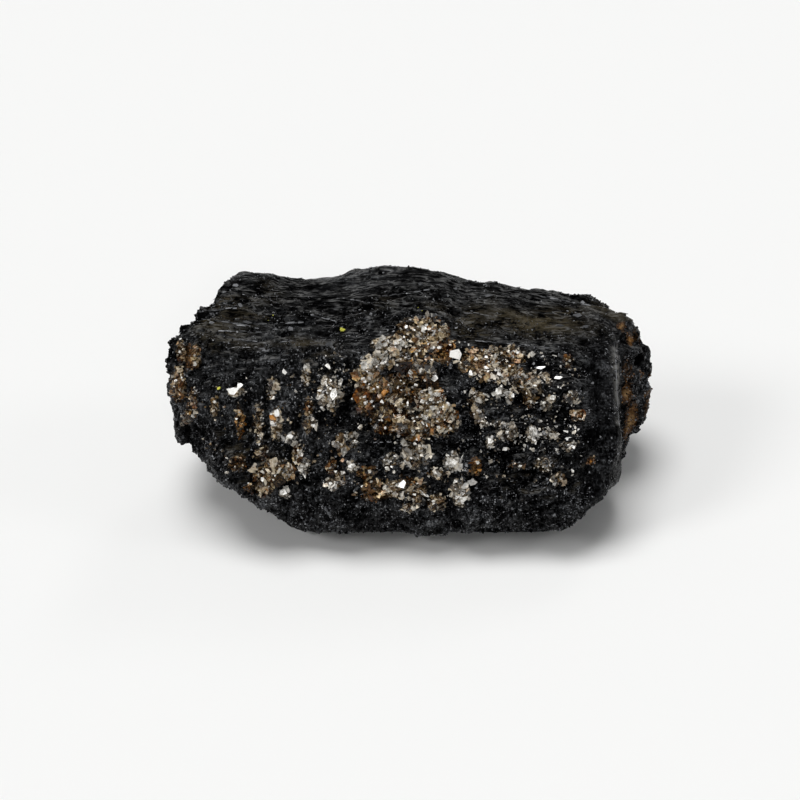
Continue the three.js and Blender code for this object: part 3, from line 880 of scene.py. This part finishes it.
def stainOf(points):
    stain = spotShare(points, rustSpots)
    for px, py, wide, high, _, _, _, _, rust in micaPatches:
        share = patchShare(points, stoneTree, (px, py), (wide, high))
        stain = np.maximum(stain, (0.25 + 0.7 * rust) * share)
    return stain


def finishStone():
    brown = smooth(noiseAt(stonePoints, 9, 3), 0.1, 0.4) * stoneAreas["top"] * 0.35
    veins = smooth(noiseAt(stonePoints, (5, 5, 9), 11), 0.22, 0.5)
    ends = np.maximum(stoneAreas["leftEnd"], stoneAreas["lobe"])
    back = smooth(stonePoints[:, 1], 2, 8) * (1 - stoneAreas["top"])
    under = smooth(-stoneNormals[:, 2], 0.6, 0.9)
    guessed = veins * np.clip(0.5 * ends + 0.42 * back + 0.3 * under, 0, 0.5)
    values = {
        "top": stoneAreas["top"],
        "sleek": stoneAreas["corner"],
        "brown": np.clip(brown + spotShare(stonePoints, brownSpots), 0, 1),
        "stain": np.clip(np.maximum(stainOf(stonePoints), guessed), 0, 1),
        "pale": edgeHighlightShare(stonePoints),
        # painted light and shade
        "region": lightAndShadeShare(stonePoints),
        "height": stoneHeight,
        "bed": stoneBed,
        "bedTone": stoneBedTone,
    }
    faces = [tuple(f.vertices) for f in stoneMesh.polygons]
    skin = makeObject("stoneSkin", stonePoints, faces, blackStoneMaterial, values)
    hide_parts("tourmaline")
    return skin


stoneSkinPiece = finishStone()
print("stone finished")


# small pieces on the stone

def basesFor(normals, twist):  # three axes for each piece: across, across and out of the surface
    helper = np.where(np.abs(normals[:, 2:3]) < 0.9, [[0, 0, 1]], [[1, 0, 0]])
    first = unit(np.cross(helper, normals))
    second = np.cross(normals, first)
    cosine, sine = np.cos(twist)[:, None], np.sin(twist)[:, None]
    return np.stack([first * cosine + second * sine, second * cosine - first * sine, normals], axis=1)


def leaning(rng, normals, most):  # the normals, each leaned by up to most degrees
    lean = np.radians(rng.uniform(0, most, len(normals)))
    bases = basesFor(normals, rng.uniform(0, 2 * math.pi, len(normals)))
    return unit(normals * np.cos(lean)[:, None] + bases[:, 0] * np.sin(lean)[:, None])


flake = {
    "sides": 5,
    "thick": (0.04, 0.14),
    "book": (0.22, 0.5),  # thickness of a book of leaves
    "books": 0.16,  # share of the flakes that are books
    "leaves": (1, 3),  # plates in one pile
    "rise": 0.1,  # from one leaf of a pile to the next
    "slide": 0.12,  # how far a leaf slides aside, as a share of its width
    "fan": 7,  # how far the leaves of a pile lean apart
    "lean": 48,
    "bookLean": 85,
    "more": 1.4,  # flakes made for each one in the list of patches
    "scale": 0.7,  # size of the smallest, as a share of the smallest in the list
    "farCount": 520,  # flakes guessed where the photograph doesn't show the stone
    "farWidth": (0.4, 1.3),
}


# one thin plate for each place, its corners at chance radii and turned by chance
def flakeShapes(rng, at, normals, width, length, thick, radii=(0.5, 1.25), turned=2 * math.pi):
    count, sides = len(at), flake["sides"]
    turn = np.linspace(0, 2 * math.pi, sides, endpoint=False) + rng.uniform(-0.55, 0.55, (count, sides))
    radius = 0.5 * rng.uniform(*radii, (count, sides))
    ring = np.stack([radius * np.cos(turn) * width[:, None], radius * np.sin(turn) * length[:, None]], axis=2)
    warp = rng.uniform(-0.03, 0.03, (count, sides))
    half = thick[:, None] / 2
    upper = np.concatenate([ring, (half + warp)[..., None]], axis=2)
    lower = np.concatenate([ring * 0.92, (warp - half)[..., None]], axis=2)
    bases = basesFor(normals, rng.uniform(-turned / 2, turned / 2, count))
    local = np.concatenate([upper, lower], axis=1)
    start = rng.uniform(0, 1, count)
    layer = np.repeat(np.stack([start + thick / mica["leaf"], start], axis=1), sides, axis=1)
    return (at[:, None] + np.einsum("nkj,njc->nkc", local, bases)).reshape(-1, 3), layer.ravel()


def flakeFaces(count):
    sides = flake["sides"]
    step = 2 * sides
    faces = []
    for i in range(count):
        first = i * step
        faces.append([first + k for k in range(sides)])
        faces.append([first + step - 1 - k for k in range(sides)])
        for k in range(sides):
            after = (k + 1) % sides
            faces.append([first + k, first + sides + k, first + sides + after, first + after])
    return faces


def pilesOf(rng, at, normals, width, tones, rusts):  # each flake becomes a small pile of leaves
    book = rng.uniform(0, 1, len(at)) < flake["books"]
    upright, flat = leaning(rng, normals, flake["bookLean"]), leaning(rng, normals, flake["lean"])
    facing = np.where(book[:, None], upright, flat)
    leaves = np.where(book, 1, rng.integers(flake["leaves"][0], flake["leaves"][1] + 1, len(at)))
    which = np.repeat(np.arange(len(at)), leaves)
    order = np.concatenate([np.arange(n) for n in leaves])
    turned = leaning(rng, facing[which], flake["fan"])
    slide = rng.normal(0, flake["slide"], (len(which), 3)) * width[which][:, None]
    slide = slide - facing[which] * np.einsum("ij,ij->i", slide, facing[which])[:, None]
    place = at[which] + facing[which] * (flake["rise"] * order + 0.02)[:, None] + slide
    shrink = rng.uniform(0.7, 1.05, len(which))
    length = width[which] * shrink * rng.uniform(0.4, 1.1, len(which))
    bookThick, leafThick = rng.uniform(*flake["book"], len(which)), rng.uniform(*flake["thick"], len(which))
    thick = np.where(book[which], bookThick, leafThick)
    tone = tones[which] + rng.normal(0, 0.07, len(which))
    return place, turned, width[which] * shrink, length, thick, tone, rusts[which]


def inGap(px, py, chance):  # whether black stone takes this flake's place
    for x, y, wide, high, strength in blackGaps:
        if ((px - x) / wide) ** 2 + ((py - y) / high) ** 2 < 1.1 and chance < strength:
            return True
    return False


def nearBright(px, py):  # whether a fully bright flake lies here
    return any(abs(px - x) < 0.55 * wide + 1 and abs(py - y) < 0.55 * high + 1
               for x, y, wide, high in brightFlakes[:purelyBright])


def rustAt(px, py):  # strength of the stain at one pixel of the view
    return max(strength * math.exp(-1.2 * (((px - x) / wide) ** 2 + ((py - y) / high) ** 2))
               for x, y, wide, high, strength in rustSpots)


def gatherFlakes():
    rng = np.random.default_rng(41)
    at, normals, width, tones, rusts = [], [], [], [], []
    for x, y, wide, high, flakes, small, large, tone, rust in micaPatches + strewnMica:
        for _ in range(round(flake["more"] * flakes)):
            out, around = 1.12 * rng.uniform() ** 0.55, rng.uniform(0, 2 * math.pi)
            px, py = x + out * wide * math.cos(around), y + out * high * math.sin(around)
            found = onStone(px, py, stoneTree)
            if found is None or inGap(px, py, rng.uniform()) or nearBright(px, py):
                continue
            at.append(found[0])
            normals.append(found[1])
            width.append(flake["scale"] * small + (large - flake["scale"] * small) * rng.uniform() ** 2.2)
            chance = min(1, 0.3 + 1.5 * rust) * rng.normal(0.1, 0.28)
            rusted = np.clip(max(0.8 * rust + chance, 1.1 * rustAt(px, py)), 0, 1)
            # painted glint: some of the less rusted flakes are made much paler
            bright = 0.45 if rng.uniform() < 0.15 * (1 - rusted) else 0
            tones.append(np.clip(tone + 0.04 + bright - 0.2 * rusted ** 2 + rng.normal(0, 0.3), 0.02, 1.1))
            rusts.append(rusted)
    return rng, np.array(at), np.array(normals), np.array(width), np.array(tones), np.array(rusts)


faceBed = np.array([stoneBed[f.vertices[0]] for f in stoneMesh.polygons])
stoneCentres = np.array([f.center for f in stoneMesh.polygons]) / mm
stoneOutward = np.array([f.normal for f in stoneMesh.polygons])


def scatterOn(rng, count, weight):  # places on the stone's faces, more where weight is high
    chance = np.maximum(weight(stoneCentres, stoneOutward), 0)
    chosen = rng.choice(len(chance), count, replace=False, p=chance / chance.sum())
    return stoneCentres[chosen], stoneOutward[chosen]


def guessedMica(points, normals):  # mica on the sides that the photograph doesn't show
    ends = np.maximum(smooth(-points[:, 0], 27, 31), smooth(points[:, 0], 26, 29))
    back = smooth(points[:, 1], 5, 9)
    veins = smooth(noiseAt(points, (5, 5, 9), 11), 0.24, 0.5)
    hidden = behindShare(points, normals)
    return veins * np.maximum(ends * 0.6, back) * hidden * (points[:, 2] > 1.5)


def makeFlakes():
    rng, at, normals, width, tones, rusts = gatherFlakes()
    farAt, farNormals = scatterOn(rng, flake["farCount"], guessedMica)
    at, normals = np.vstack([at, farAt]), np.vstack([normals, farNormals])
    width = np.concatenate([width, rng.uniform(*flake["farWidth"], len(farAt))])
    tones = np.concatenate([tones, rng.normal(0.42, 0.16, len(farAt))])
    rusts = np.concatenate([rusts, rng.uniform(0, 0.9, len(farAt))])
    place, turned, wide, length, thick, tone, rust = pilesOf(rng, at, normals, width, tones, rusts)
    shapes, layer = flakeShapes(rng, place, turned, wide, length, thick)
    perFlake = 2 * flake["sides"]
    values = {
        "tone": np.repeat(np.clip(tone, 0, 1), perFlake),
        "stain": np.repeat(rust, perFlake),
        "layer": layer,
    }
    return makeObject("micaFlakes", fitInside(shapes), flakeFaces(len(place)), micaMaterial, values)


micaPiece = makeFlakes()
print("mica flakes made:", len(micaPiece.data.polygons), "faces")


# parallel soft lights: where each comes from, its width in degrees and its strength
# the bright flakes turn to mirror them, so they come first
lights = {
    "above": {"from": (-60, 10, 420), "width": 34, "strength": 2.15},
    "left": {"from": (-330, -160, 260), "width": 20, "strength": 0.85},
    "front": {"from": (60, -420, 260), "width": 9, "strength": 0.3},
    "right": {"from": (340, -60, 240), "width": 16, "strength": 0.18},
    "back": {"from": (180, 300, 330), "width": 15, "strength": 0.16},
}


def sparksIn(rng):  # small pale flakes, painted highlights, strewn over the patches of mica
    found = []
    for px, py, wide, high, flakes, _, _, tone, _ in micaPatches:
        for _ in range(round(sparks["share"] * flakes * tone)):
            x, y = px + rng.normal(0, 0.55) * wide, py + rng.normal(0, 0.55) * high
            size = rng.uniform(*sparks["size"])
            found.append((x, y, size, size * rng.uniform(0.5, 1.1)))
    return found


brightFlake = {
    "tremble": 0.13,  # how far most of them turn away from a light
    "proud": 0.3,  # how far they stand out
    "nearer": (0.65, 0.42),  # and towards the view, the fully bright ones and the rest
    "thick": 0.16,
}


def makeBrightFlakes():
    rng = np.random.default_rng(7)
    at, normals, width, length = [], [], [], []
    lightPlaces = [np.array(lights[name]["from"], float) for name in ("above", "left", "front")]
    for px, py, wide, high in brightFlakes + sparksIn(rng):
        found = onStone(px, py, stoneTree)
        if found is None:
            continue
        towardEye = unit(eyePlace - found[0])
        choices = [unit(towardEye + unit(place)) for place in lightPlaces]
        best = max(choices, key=lambda n: float(n @ found[1]))
        nearer = brightFlake["nearer"][0]
        if len(at) >= purelyBright:
            nearer = brightFlake["nearer"][1]
            best = unit(best + rng.normal(0, brightFlake["tremble"], 3))
        at.append(found[0] + best * brightFlake["proud"] + towardEye * nearer)
        normals.append(best)
        width.append(wide / viewScale)
        length.append(high / viewScale)
    thick = np.full(len(at), brightFlake["thick"])
    places = [np.array(row) for row in (at, normals, width, length)]
    shapes, layer = flakeShapes(rng, *places, thick, (0.8, 1.2), 0.5)
    perFlake = 2 * flake["sides"]
    # painted highlights: the fully bright flakes are white, the rest from beige to near white
    tone = np.where(np.arange(len(at)) < purelyBright, 1.0, rng.uniform(0.5, 0.9, len(at)))
    values = {
        "tone": np.repeat(tone, perFlake),
        "stain": np.zeros(len(at) * perFlake),
        "layer": np.full(len(layer), 0.25),
    }
    return makeObject("brightFlakes", fitInside(shapes), flakeFaces(len(at)), micaMaterial, values)


makeBrightFlakes()


def makeHighlightFacets():  # small pale faces on the black stone, lying along the view: painted highlights
    rng = np.random.default_rng(19)
    rows = []
    for px, py, wide, high, pale in highlightFacets:
        spot, outward = onStone(px, py, stoneTree)
        facing = unit(outward + 0.6 * unit(eyePlace - spot))
        steps = max(1, round(wide * high / 12))
        for _ in range(steps):
            slide = rng.normal(0, 0.2, 3) * [wide / viewScale, 0.1, high / viewScale] * (steps > 1)
            at = spot + outward * 0.04 + slide
            rows.append((at, facing, 1.6 * wide / viewScale, 2.2 * high / viewScale, pale))
    at, normals, width, length, tone = (np.array([row[k] for row in rows]) for k in range(5))
    shrink = rng.uniform(0.5, 1.0, len(at))
    normals = leaning(rng, normals, 14)
    width, length = width * shrink, length * shrink
    shapes, layer = flakeShapes(rng, at, normals, width, length, np.full(len(at), 0.12), turned=0.3)
    perFlake = 2 * flake["sides"]
    values = {"tone": np.repeat(0.62 + 0.45 * tone, perFlake), "stain": np.zeros(len(layer))}
    faces = flakeFaces(len(at))
    return makeObject("highlightFacets", fitInside(shapes), faces, crystalMaterial, values)


makeHighlightFacets()


# a painted highlight down the right corner's edge
edgeHighlight = {"width": 0.46, "high": 0.05, "steps": 44, "tone": 0.94}


def makeEdgeHighlight():  # a narrow pale blade down the edge of the right corner: a painted highlight
    rng = np.random.default_rng(3)
    rows = []
    along = np.linspace(0, len(sliver) - 1, edgeHighlight["steps"])
    for i, t in enumerate(along):
        px = np.interp(t, range(len(sliver)), [p[0] for p in sliver])
        py = np.interp(t, range(len(sliver)), [p[1] for p in sliver])
        spot, outward = onStone(px, py, stoneTree)
        taper = math.sin(math.pi * (i + 0.5) / len(along)) ** 0.4
        half = edgeHighlight["width"] / 2 * taper * rng.uniform(0.6, 1.2)
        side = unit(np.cross(outward, [0, 0, 1]))
        high = edgeHighlight["high"] * rng.uniform(0.6, 1.2)
        left, right = spot - side * half - outward * 0.1, spot + side * half - outward * 0.1
        rows.append([left, spot + outward * high, right, spot - outward * 0.3])
    points = np.array(rows).reshape(-1, 3)
    steps = len(along)
    faces = [[4 * i + k, 4 * i + (k + 1) % 4, 4 * i + 4 + (k + 1) % 4, 4 * i + 4 + k]
             for i in range(steps - 1) for k in range(4)]
    faces += [[3, 2, 1, 0], [4 * steps - 4 + k for k in range(4)]]
    values = {"tone": np.full(len(points), edgeHighlight["tone"]), "stain": np.zeros(len(points))}
    return makeObject("edgeHighlight", fitInside(points), faces, crystalMaterial, values)


makeEdgeHighlight()


# black crystals: three-sided prisms with pointed ends
prismEdges = [(math.cos(a), math.sin(a), z) for z in (-0.5, 0.5) for a in (0, 2.1, 4.2)]
prismPoints = np.array(prismEdges + [(0.2, 0.1, 0.8), (0.1, -0.2, -0.8)])
prismFaces = np.array([
    (0, 1, 4), (0, 4, 3), (1, 2, 5), (1, 5, 4), (2, 0, 3), (2, 3, 5),
    (3, 4, 6), (4, 5, 6), (5, 3, 6), (1, 0, 7), (2, 1, 7), (0, 2, 7),
])


def crystalShapes(rng, at, axes, thick, length):  # axes is the direction each crystal grows in
    bases = basesFor(axes, rng.uniform(0, 2 * math.pi, len(at)))
    local = prismPoints[None] + rng.uniform(-0.18, 0.18, (len(at), len(prismPoints), 3))
    local = local * np.stack([thick / 2, thick / 2, length], axis=1)[:, None]
    return at[:, None] + np.einsum("nkj,njc->nkc", local, bases)


def crystalFaces(count):
    return (prismFaces[None] + (np.arange(count) * len(prismPoints))[:, None, None]).reshape(-1, 3).tolist()


flatTop = 0.8  # no crystals grow below this height, where the stone rests


def fracture(points):  # 1 on the bare faces of the far side
    return smooth(points[:, 1], -1, 4) * smooth(noiseAt(points, 7.5, 25), -0.12, 0.1)


def crumbWeight(points, normals):  # clumps on the rough sides, few where mica or smooth stone is
    areas = regionsOf(points, normals)
    clumps = smooth(noiseAt(points, 2.4, 6), -0.35, 0.25)
    bare = 1 - 0.7 * smooth(faceBed, 0.3, 0.5)
    rough = (1 - 0.85 * areas["corner"]) * (1 - 0.93 * areas["top"]) * (1 - 0.9 * fracture(points))
    return (0.3 + clumps) * bare * rough * (points[:, 2] > flatTop)


blackCrumbs = {
    "count": 12500,
    "lean": 80,
    "upward": 0.35,  # how much they turn upwards
    "thick": (0.14, 0.42),
    "length": (0.6, 1.3),  # for each part of the thickness
    "sunk": 0.28,
}


def makeCrumbs():
    rng = np.random.default_rng(5)
    at, normals = scatterOn(rng, blackCrumbs["count"], crumbWeight)
    axes = unit(leaning(rng, normals, blackCrumbs["lean"]) + np.array([0, 0, blackCrumbs["upward"]]))
    thick = rng.uniform(*blackCrumbs["thick"], len(at))
    length = thick * rng.uniform(*blackCrumbs["length"], len(at))
    at = at - normals * thick[:, None] * blackCrumbs["sunk"]
    shapes = fitInside(crystalShapes(rng, at, axes, thick, length).reshape(-1, 3))
    # painted light and shade: crumbs paler in some spots and darker in others; the palest are painted glints;
    # darker on the far side
    power = 1.8 - 0.9 * lightAndShadeShare(at) + 0.9 * smooth(at[:, 1], 3, 8)
    tone = np.repeat(rng.uniform(0, 1.08, len(at)) ** power, len(prismPoints))
    values = {"tone": tone, "stain": np.zeros(len(tone))}
    return makeObject("blackCrumbs", shapes, crystalFaces(len(at)), crystalMaterial, values)


def splinterWeight(points, normals):  # the top, thinner towards its far edge
    areas = regionsOf(points, normals)
    clumps = smooth(noiseAt(points, (6, 2, 2), 4), -0.3, 0.3)
    return areas["top"] * clumps * (1 - areas["leftEnd"]) * (1 - 0.85 * smooth(points[:, 1], 1, 6))


# thin pale edges of the layers, painted highlights: each runs through these pixels
ledges = [
    [(203, 319), (232, 323), (258, 327)], [(222, 331), (262, 333)], [(228, 338), (262, 342), (300, 341)],
    [(313, 315), (338, 322)], [(238, 348), (264, 347)], [(214, 311), (240, 307)], [(262, 325), (305, 322)],
    [(264, 362), (292, 358)], [(340, 298), (372, 303)], [(385, 296), (430, 290)], [(460, 312), (515, 319)],
    [(540, 296), (590, 306)], [(478, 341), (560, 349)], [(205, 287), (222, 284)],
]


def ledgeSplinters():  # where the splinters of the ledges lie and where each points
    at, along = [], []
    for line in ledges:
        xs, ys = zip(*line)
        steps = np.linspace(xs[0], xs[-1], max(2, int((xs[-1] - xs[0]) / 3)))
        found = [onStone(px, np.interp(px, xs, ys), stoneTree) for px in steps]
        spots = [hit[0] for hit in found if hit]
        at += spots[:-1]
        along += [after - spot for spot, after in zip(spots, spots[1:])]
    return np.array(at), unit(np.array(along))


topSplinters = {
    "count": 5200,
    "thick": (0.06, 0.15),
    "length": (0.25, 0.9),
    "sunk": 0.4,
    "ledgeThick": (0.1, 0.24),
    "ledgeLength": (0.4, 0.8),
}


def makeSplinters():
    rng = np.random.default_rng(8)
    at, normals = scatterOn(rng, topSplinters["count"], splinterWeight)
    swirl = np.array([noise.noise_vector(p) for p in (at / 7).tolist()])
    along = np.array([1.0, 0, 0]) + 0.45 * swirl + rng.normal(0, 0.16, at.shape)
    along = unit(along - normals * np.einsum("ij,ij->i", along, normals)[:, None])
    thick = rng.uniform(*topSplinters["thick"], len(at))
    length = rng.uniform(*topSplinters["length"], len(at))
    at = at - normals * thick[:, None] * topSplinters["sunk"]
    # the palest splinters are painted glints
    tones = rng.uniform(0, 1.05, len(at)) ** 2
    ledgeAt, ledgeAlong = ledgeSplinters()
    at = np.vstack([at, ledgeAt + rng.normal(0, 0.06, ledgeAt.shape)])
    along = np.vstack([along, ledgeAlong])
    thick = np.concatenate([thick, rng.uniform(*topSplinters["ledgeThick"], len(ledgeAt))])
    length = np.concatenate([length, rng.uniform(*topSplinters["ledgeLength"], len(ledgeAt))])
    # the ledges' pale splinters are painted highlights
    tones = np.concatenate([tones, rng.uniform(0.7, 1.05, len(ledgeAt))])
    shapes = fitInside(crystalShapes(rng, at, along, thick, length).reshape(-1, 3))
    perCrystal = len(prismPoints)
    values = {"tone": np.repeat(tones, perCrystal), "stain": np.repeat(spotShare(at, brownSpots), perCrystal)}
    return makeObject("topSplinters", shapes, crystalFaces(len(at)), crystalMaterial, values)


def glintWeight(points, normals):  # drifts over all the rough stone
    areas = regionsOf(points, normals)
    clumps = smooth(noiseAt(points, (3, 1.6, 1.6), 15), -0.1, 0.4)
    rough = (1 - 0.5 * areas["top"]) * (1 - 0.85 * areas["corner"]) * (1 - 0.9 * fracture(points))
    far = 1 - 0.5 * smooth(points[:, 1], 2, 8)
    bare = 1 - 0.8 * smooth(faceBed, 0.3, 0.5)
    return (0.08 + clumps) * rough * far * bare * (points[:, 2] > flatTop)


glintGrains = {"count": 6500, "lean": 85, "thick": (0.07, 0.19), "length": (0.6, 1.8), "tone": (0.7, 1.08)}


def makeGlintGrains():  # the smallest crystals, pale as fine points: painted glints
    rng = np.random.default_rng(23)
    at, normals = scatterOn(rng, glintGrains["count"], glintWeight)
    thick = rng.uniform(*glintGrains["thick"], len(at))
    length = thick * rng.uniform(*glintGrains["length"], len(at))
    axes = leaning(rng, normals, glintGrains["lean"])
    shapes = fitInside(crystalShapes(rng, at, axes, thick, length).reshape(-1, 3))
    tone = np.repeat(rng.uniform(*glintGrains["tone"], len(at)), len(prismPoints))
    values = {"tone": tone, "stain": np.zeros(len(tone))}
    return makeObject("glintGrains", shapes, crystalFaces(len(at)), crystalMaterial, values)


makeCrumbs()
makeSplinters()
makeGlintGrains()
print("black crystals made")


stoneStain = np.zeros(len(stonePoints))
stoneSkinPiece.data.attributes["stain"].data.foreach_get("value", stoneStain)
faceStain = np.array([stoneStain[f.vertices[0]] for f in stoneMesh.polygons])


def rustWeight(points, normals):  # wherever the skin is stained
    return smooth(faceStain, 0.3, 0.9) * (points[:, 2] > 1.25 * flatTop)


rustGrains = {"count": 2200, "lean": 85, "thick": (0.1, 0.3), "length": (0.5, 1.1)}


def makeRustGrains():
    rng = np.random.default_rng(13)
    at, normals = scatterOn(rng, rustGrains["count"], rustWeight)
    stains = spotShare(at, rustSpots)
    axes = leaning(rng, normals, rustGrains["lean"])
    thick = rng.uniform(*rustGrains["thick"], len(at))
    length = thick * rng.uniform(*rustGrains["length"], len(at))
    shapes = fitInside(crystalShapes(rng, at, axes, thick, length).reshape(-1, 3))
    tone = np.repeat(np.clip(rng.normal(0.36 + 0.3 * stains, 0.2), 0, 1), len(prismPoints))
    faces = crystalFaces(len(at))
    return makeObject("rustGrains", shapes, faces, stainMaterial, {"tone": tone})


makeRustGrains()
print("rust grains made")


yellowSpecks = {  # small sulphur-yellow grains: middle in pixels and width in mm
    "colour": (0.85, 0.84, 0.11),
    "at": [
        (343, 330, 0.55), (219, 388, 0.36), (273, 315, 0.16),
        (268, 320, 0.12), (418, 308, 0.14), (422, 311, 0.12),
    ],
}


def makeYellowSpecks():
    material, tree, shader = newMaterial("yellowSpecks")
    place = millimetres(tree)
    dull = [part * 0.5 for part in yellowSpecks["colour"]]
    mottled = mixColour(tree, noiseNode(tree, place, 0.2, 3), dull, yellowSpecks["colour"])
    tree.links.new(mottled, shader.inputs["Base Color"])
    shader.inputs["Roughness"].default_value = 0.6
    rng = np.random.default_rng(17)
    at, normals, thick = [], [], []
    for px, py, wide in yellowSpecks["at"]:
        spot, outward = onStone(px, py, stoneTree)
        for _ in range(4):
            at.append(spot + outward * 0.3 * wide + rng.normal(0, 0.14 * wide, 3))
            normals.append(outward)
            thick.append(wide * rng.uniform(0.7, 1.0))
    thick = np.array(thick)
    shapes = crystalShapes(rng, np.array(at), leaning(rng, np.array(normals), 80), thick, thick * 0.5)
    shapes = fitInside(shapes.reshape(-1, 3))
    makeObject("yellowSpecks", shapes, crystalFaces(len(at)), material)


makeYellowSpecks()


# floor and light

floor = {"size": 40000, "colour": (0.86, 0.86, 0.85)}


def makeFloor():
    half = floor["size"] / 2 * mm
    mesh = bpy.data.meshes.new("paleFloor")
    corners = [(-half, -half, 0), (half, -half, 0), (half, half, 0), (-half, half, 0)]
    mesh.from_pydata(corners, [], [(0, 1, 2, 3)])
    material, _, shader = newMaterial("paleFloor")
    shader.inputs["Base Color"].default_value = (*floor["colour"], 1)
    shader.inputs["Roughness"].default_value = 0.9
    mesh.materials.append(material)
    piece = bpy.data.objects.new("paleFloor", mesh)
    bpy.context.scene.collection.objects.link(piece)


def makeLights():
    for name, light in lights.items():
        data = bpy.data.lights.new(name, "SUN")
        data.energy, data.angle = light["strength"], math.radians(light["width"])
        lamp = bpy.data.objects.new(name, data)
        lamp.location = Vector(light["from"]) * mm
        lamp.rotation_euler = (-lamp.location).to_track_quat("-Z", "Y").to_euler()
        bpy.context.scene.collection.objects.link(lamp)


# pale at the horizon, dim overhead
air = {"colour": (0.97, 0.98, 1.0), "rise": (0.0, 0.06), "low": 0.9, "high": 0.15}


def makeAir():
    world = bpy.data.worlds.new("softAir")
    world.use_nodes = True
    tree = world.node_tree
    background = tree.nodes["Background"]
    background.inputs["Color"].default_value = (*air["colour"], 1)
    direction = addNode(tree, "ShaderNodeTexCoord").outputs["Generated"]
    rise = addNode(tree, "ShaderNodeSeparateXYZ", {0: direction}).outputs[2]
    tree.links.new(spread(tree, rise, *air["rise"], air["low"], air["high"]), background.inputs["Strength"])
    bpy.context.scene.world = world


makeFloor()
makeLights()
makeAir()
bpy.context.scene.view_settings.view_transform = "Standard"
print("floor and light made")
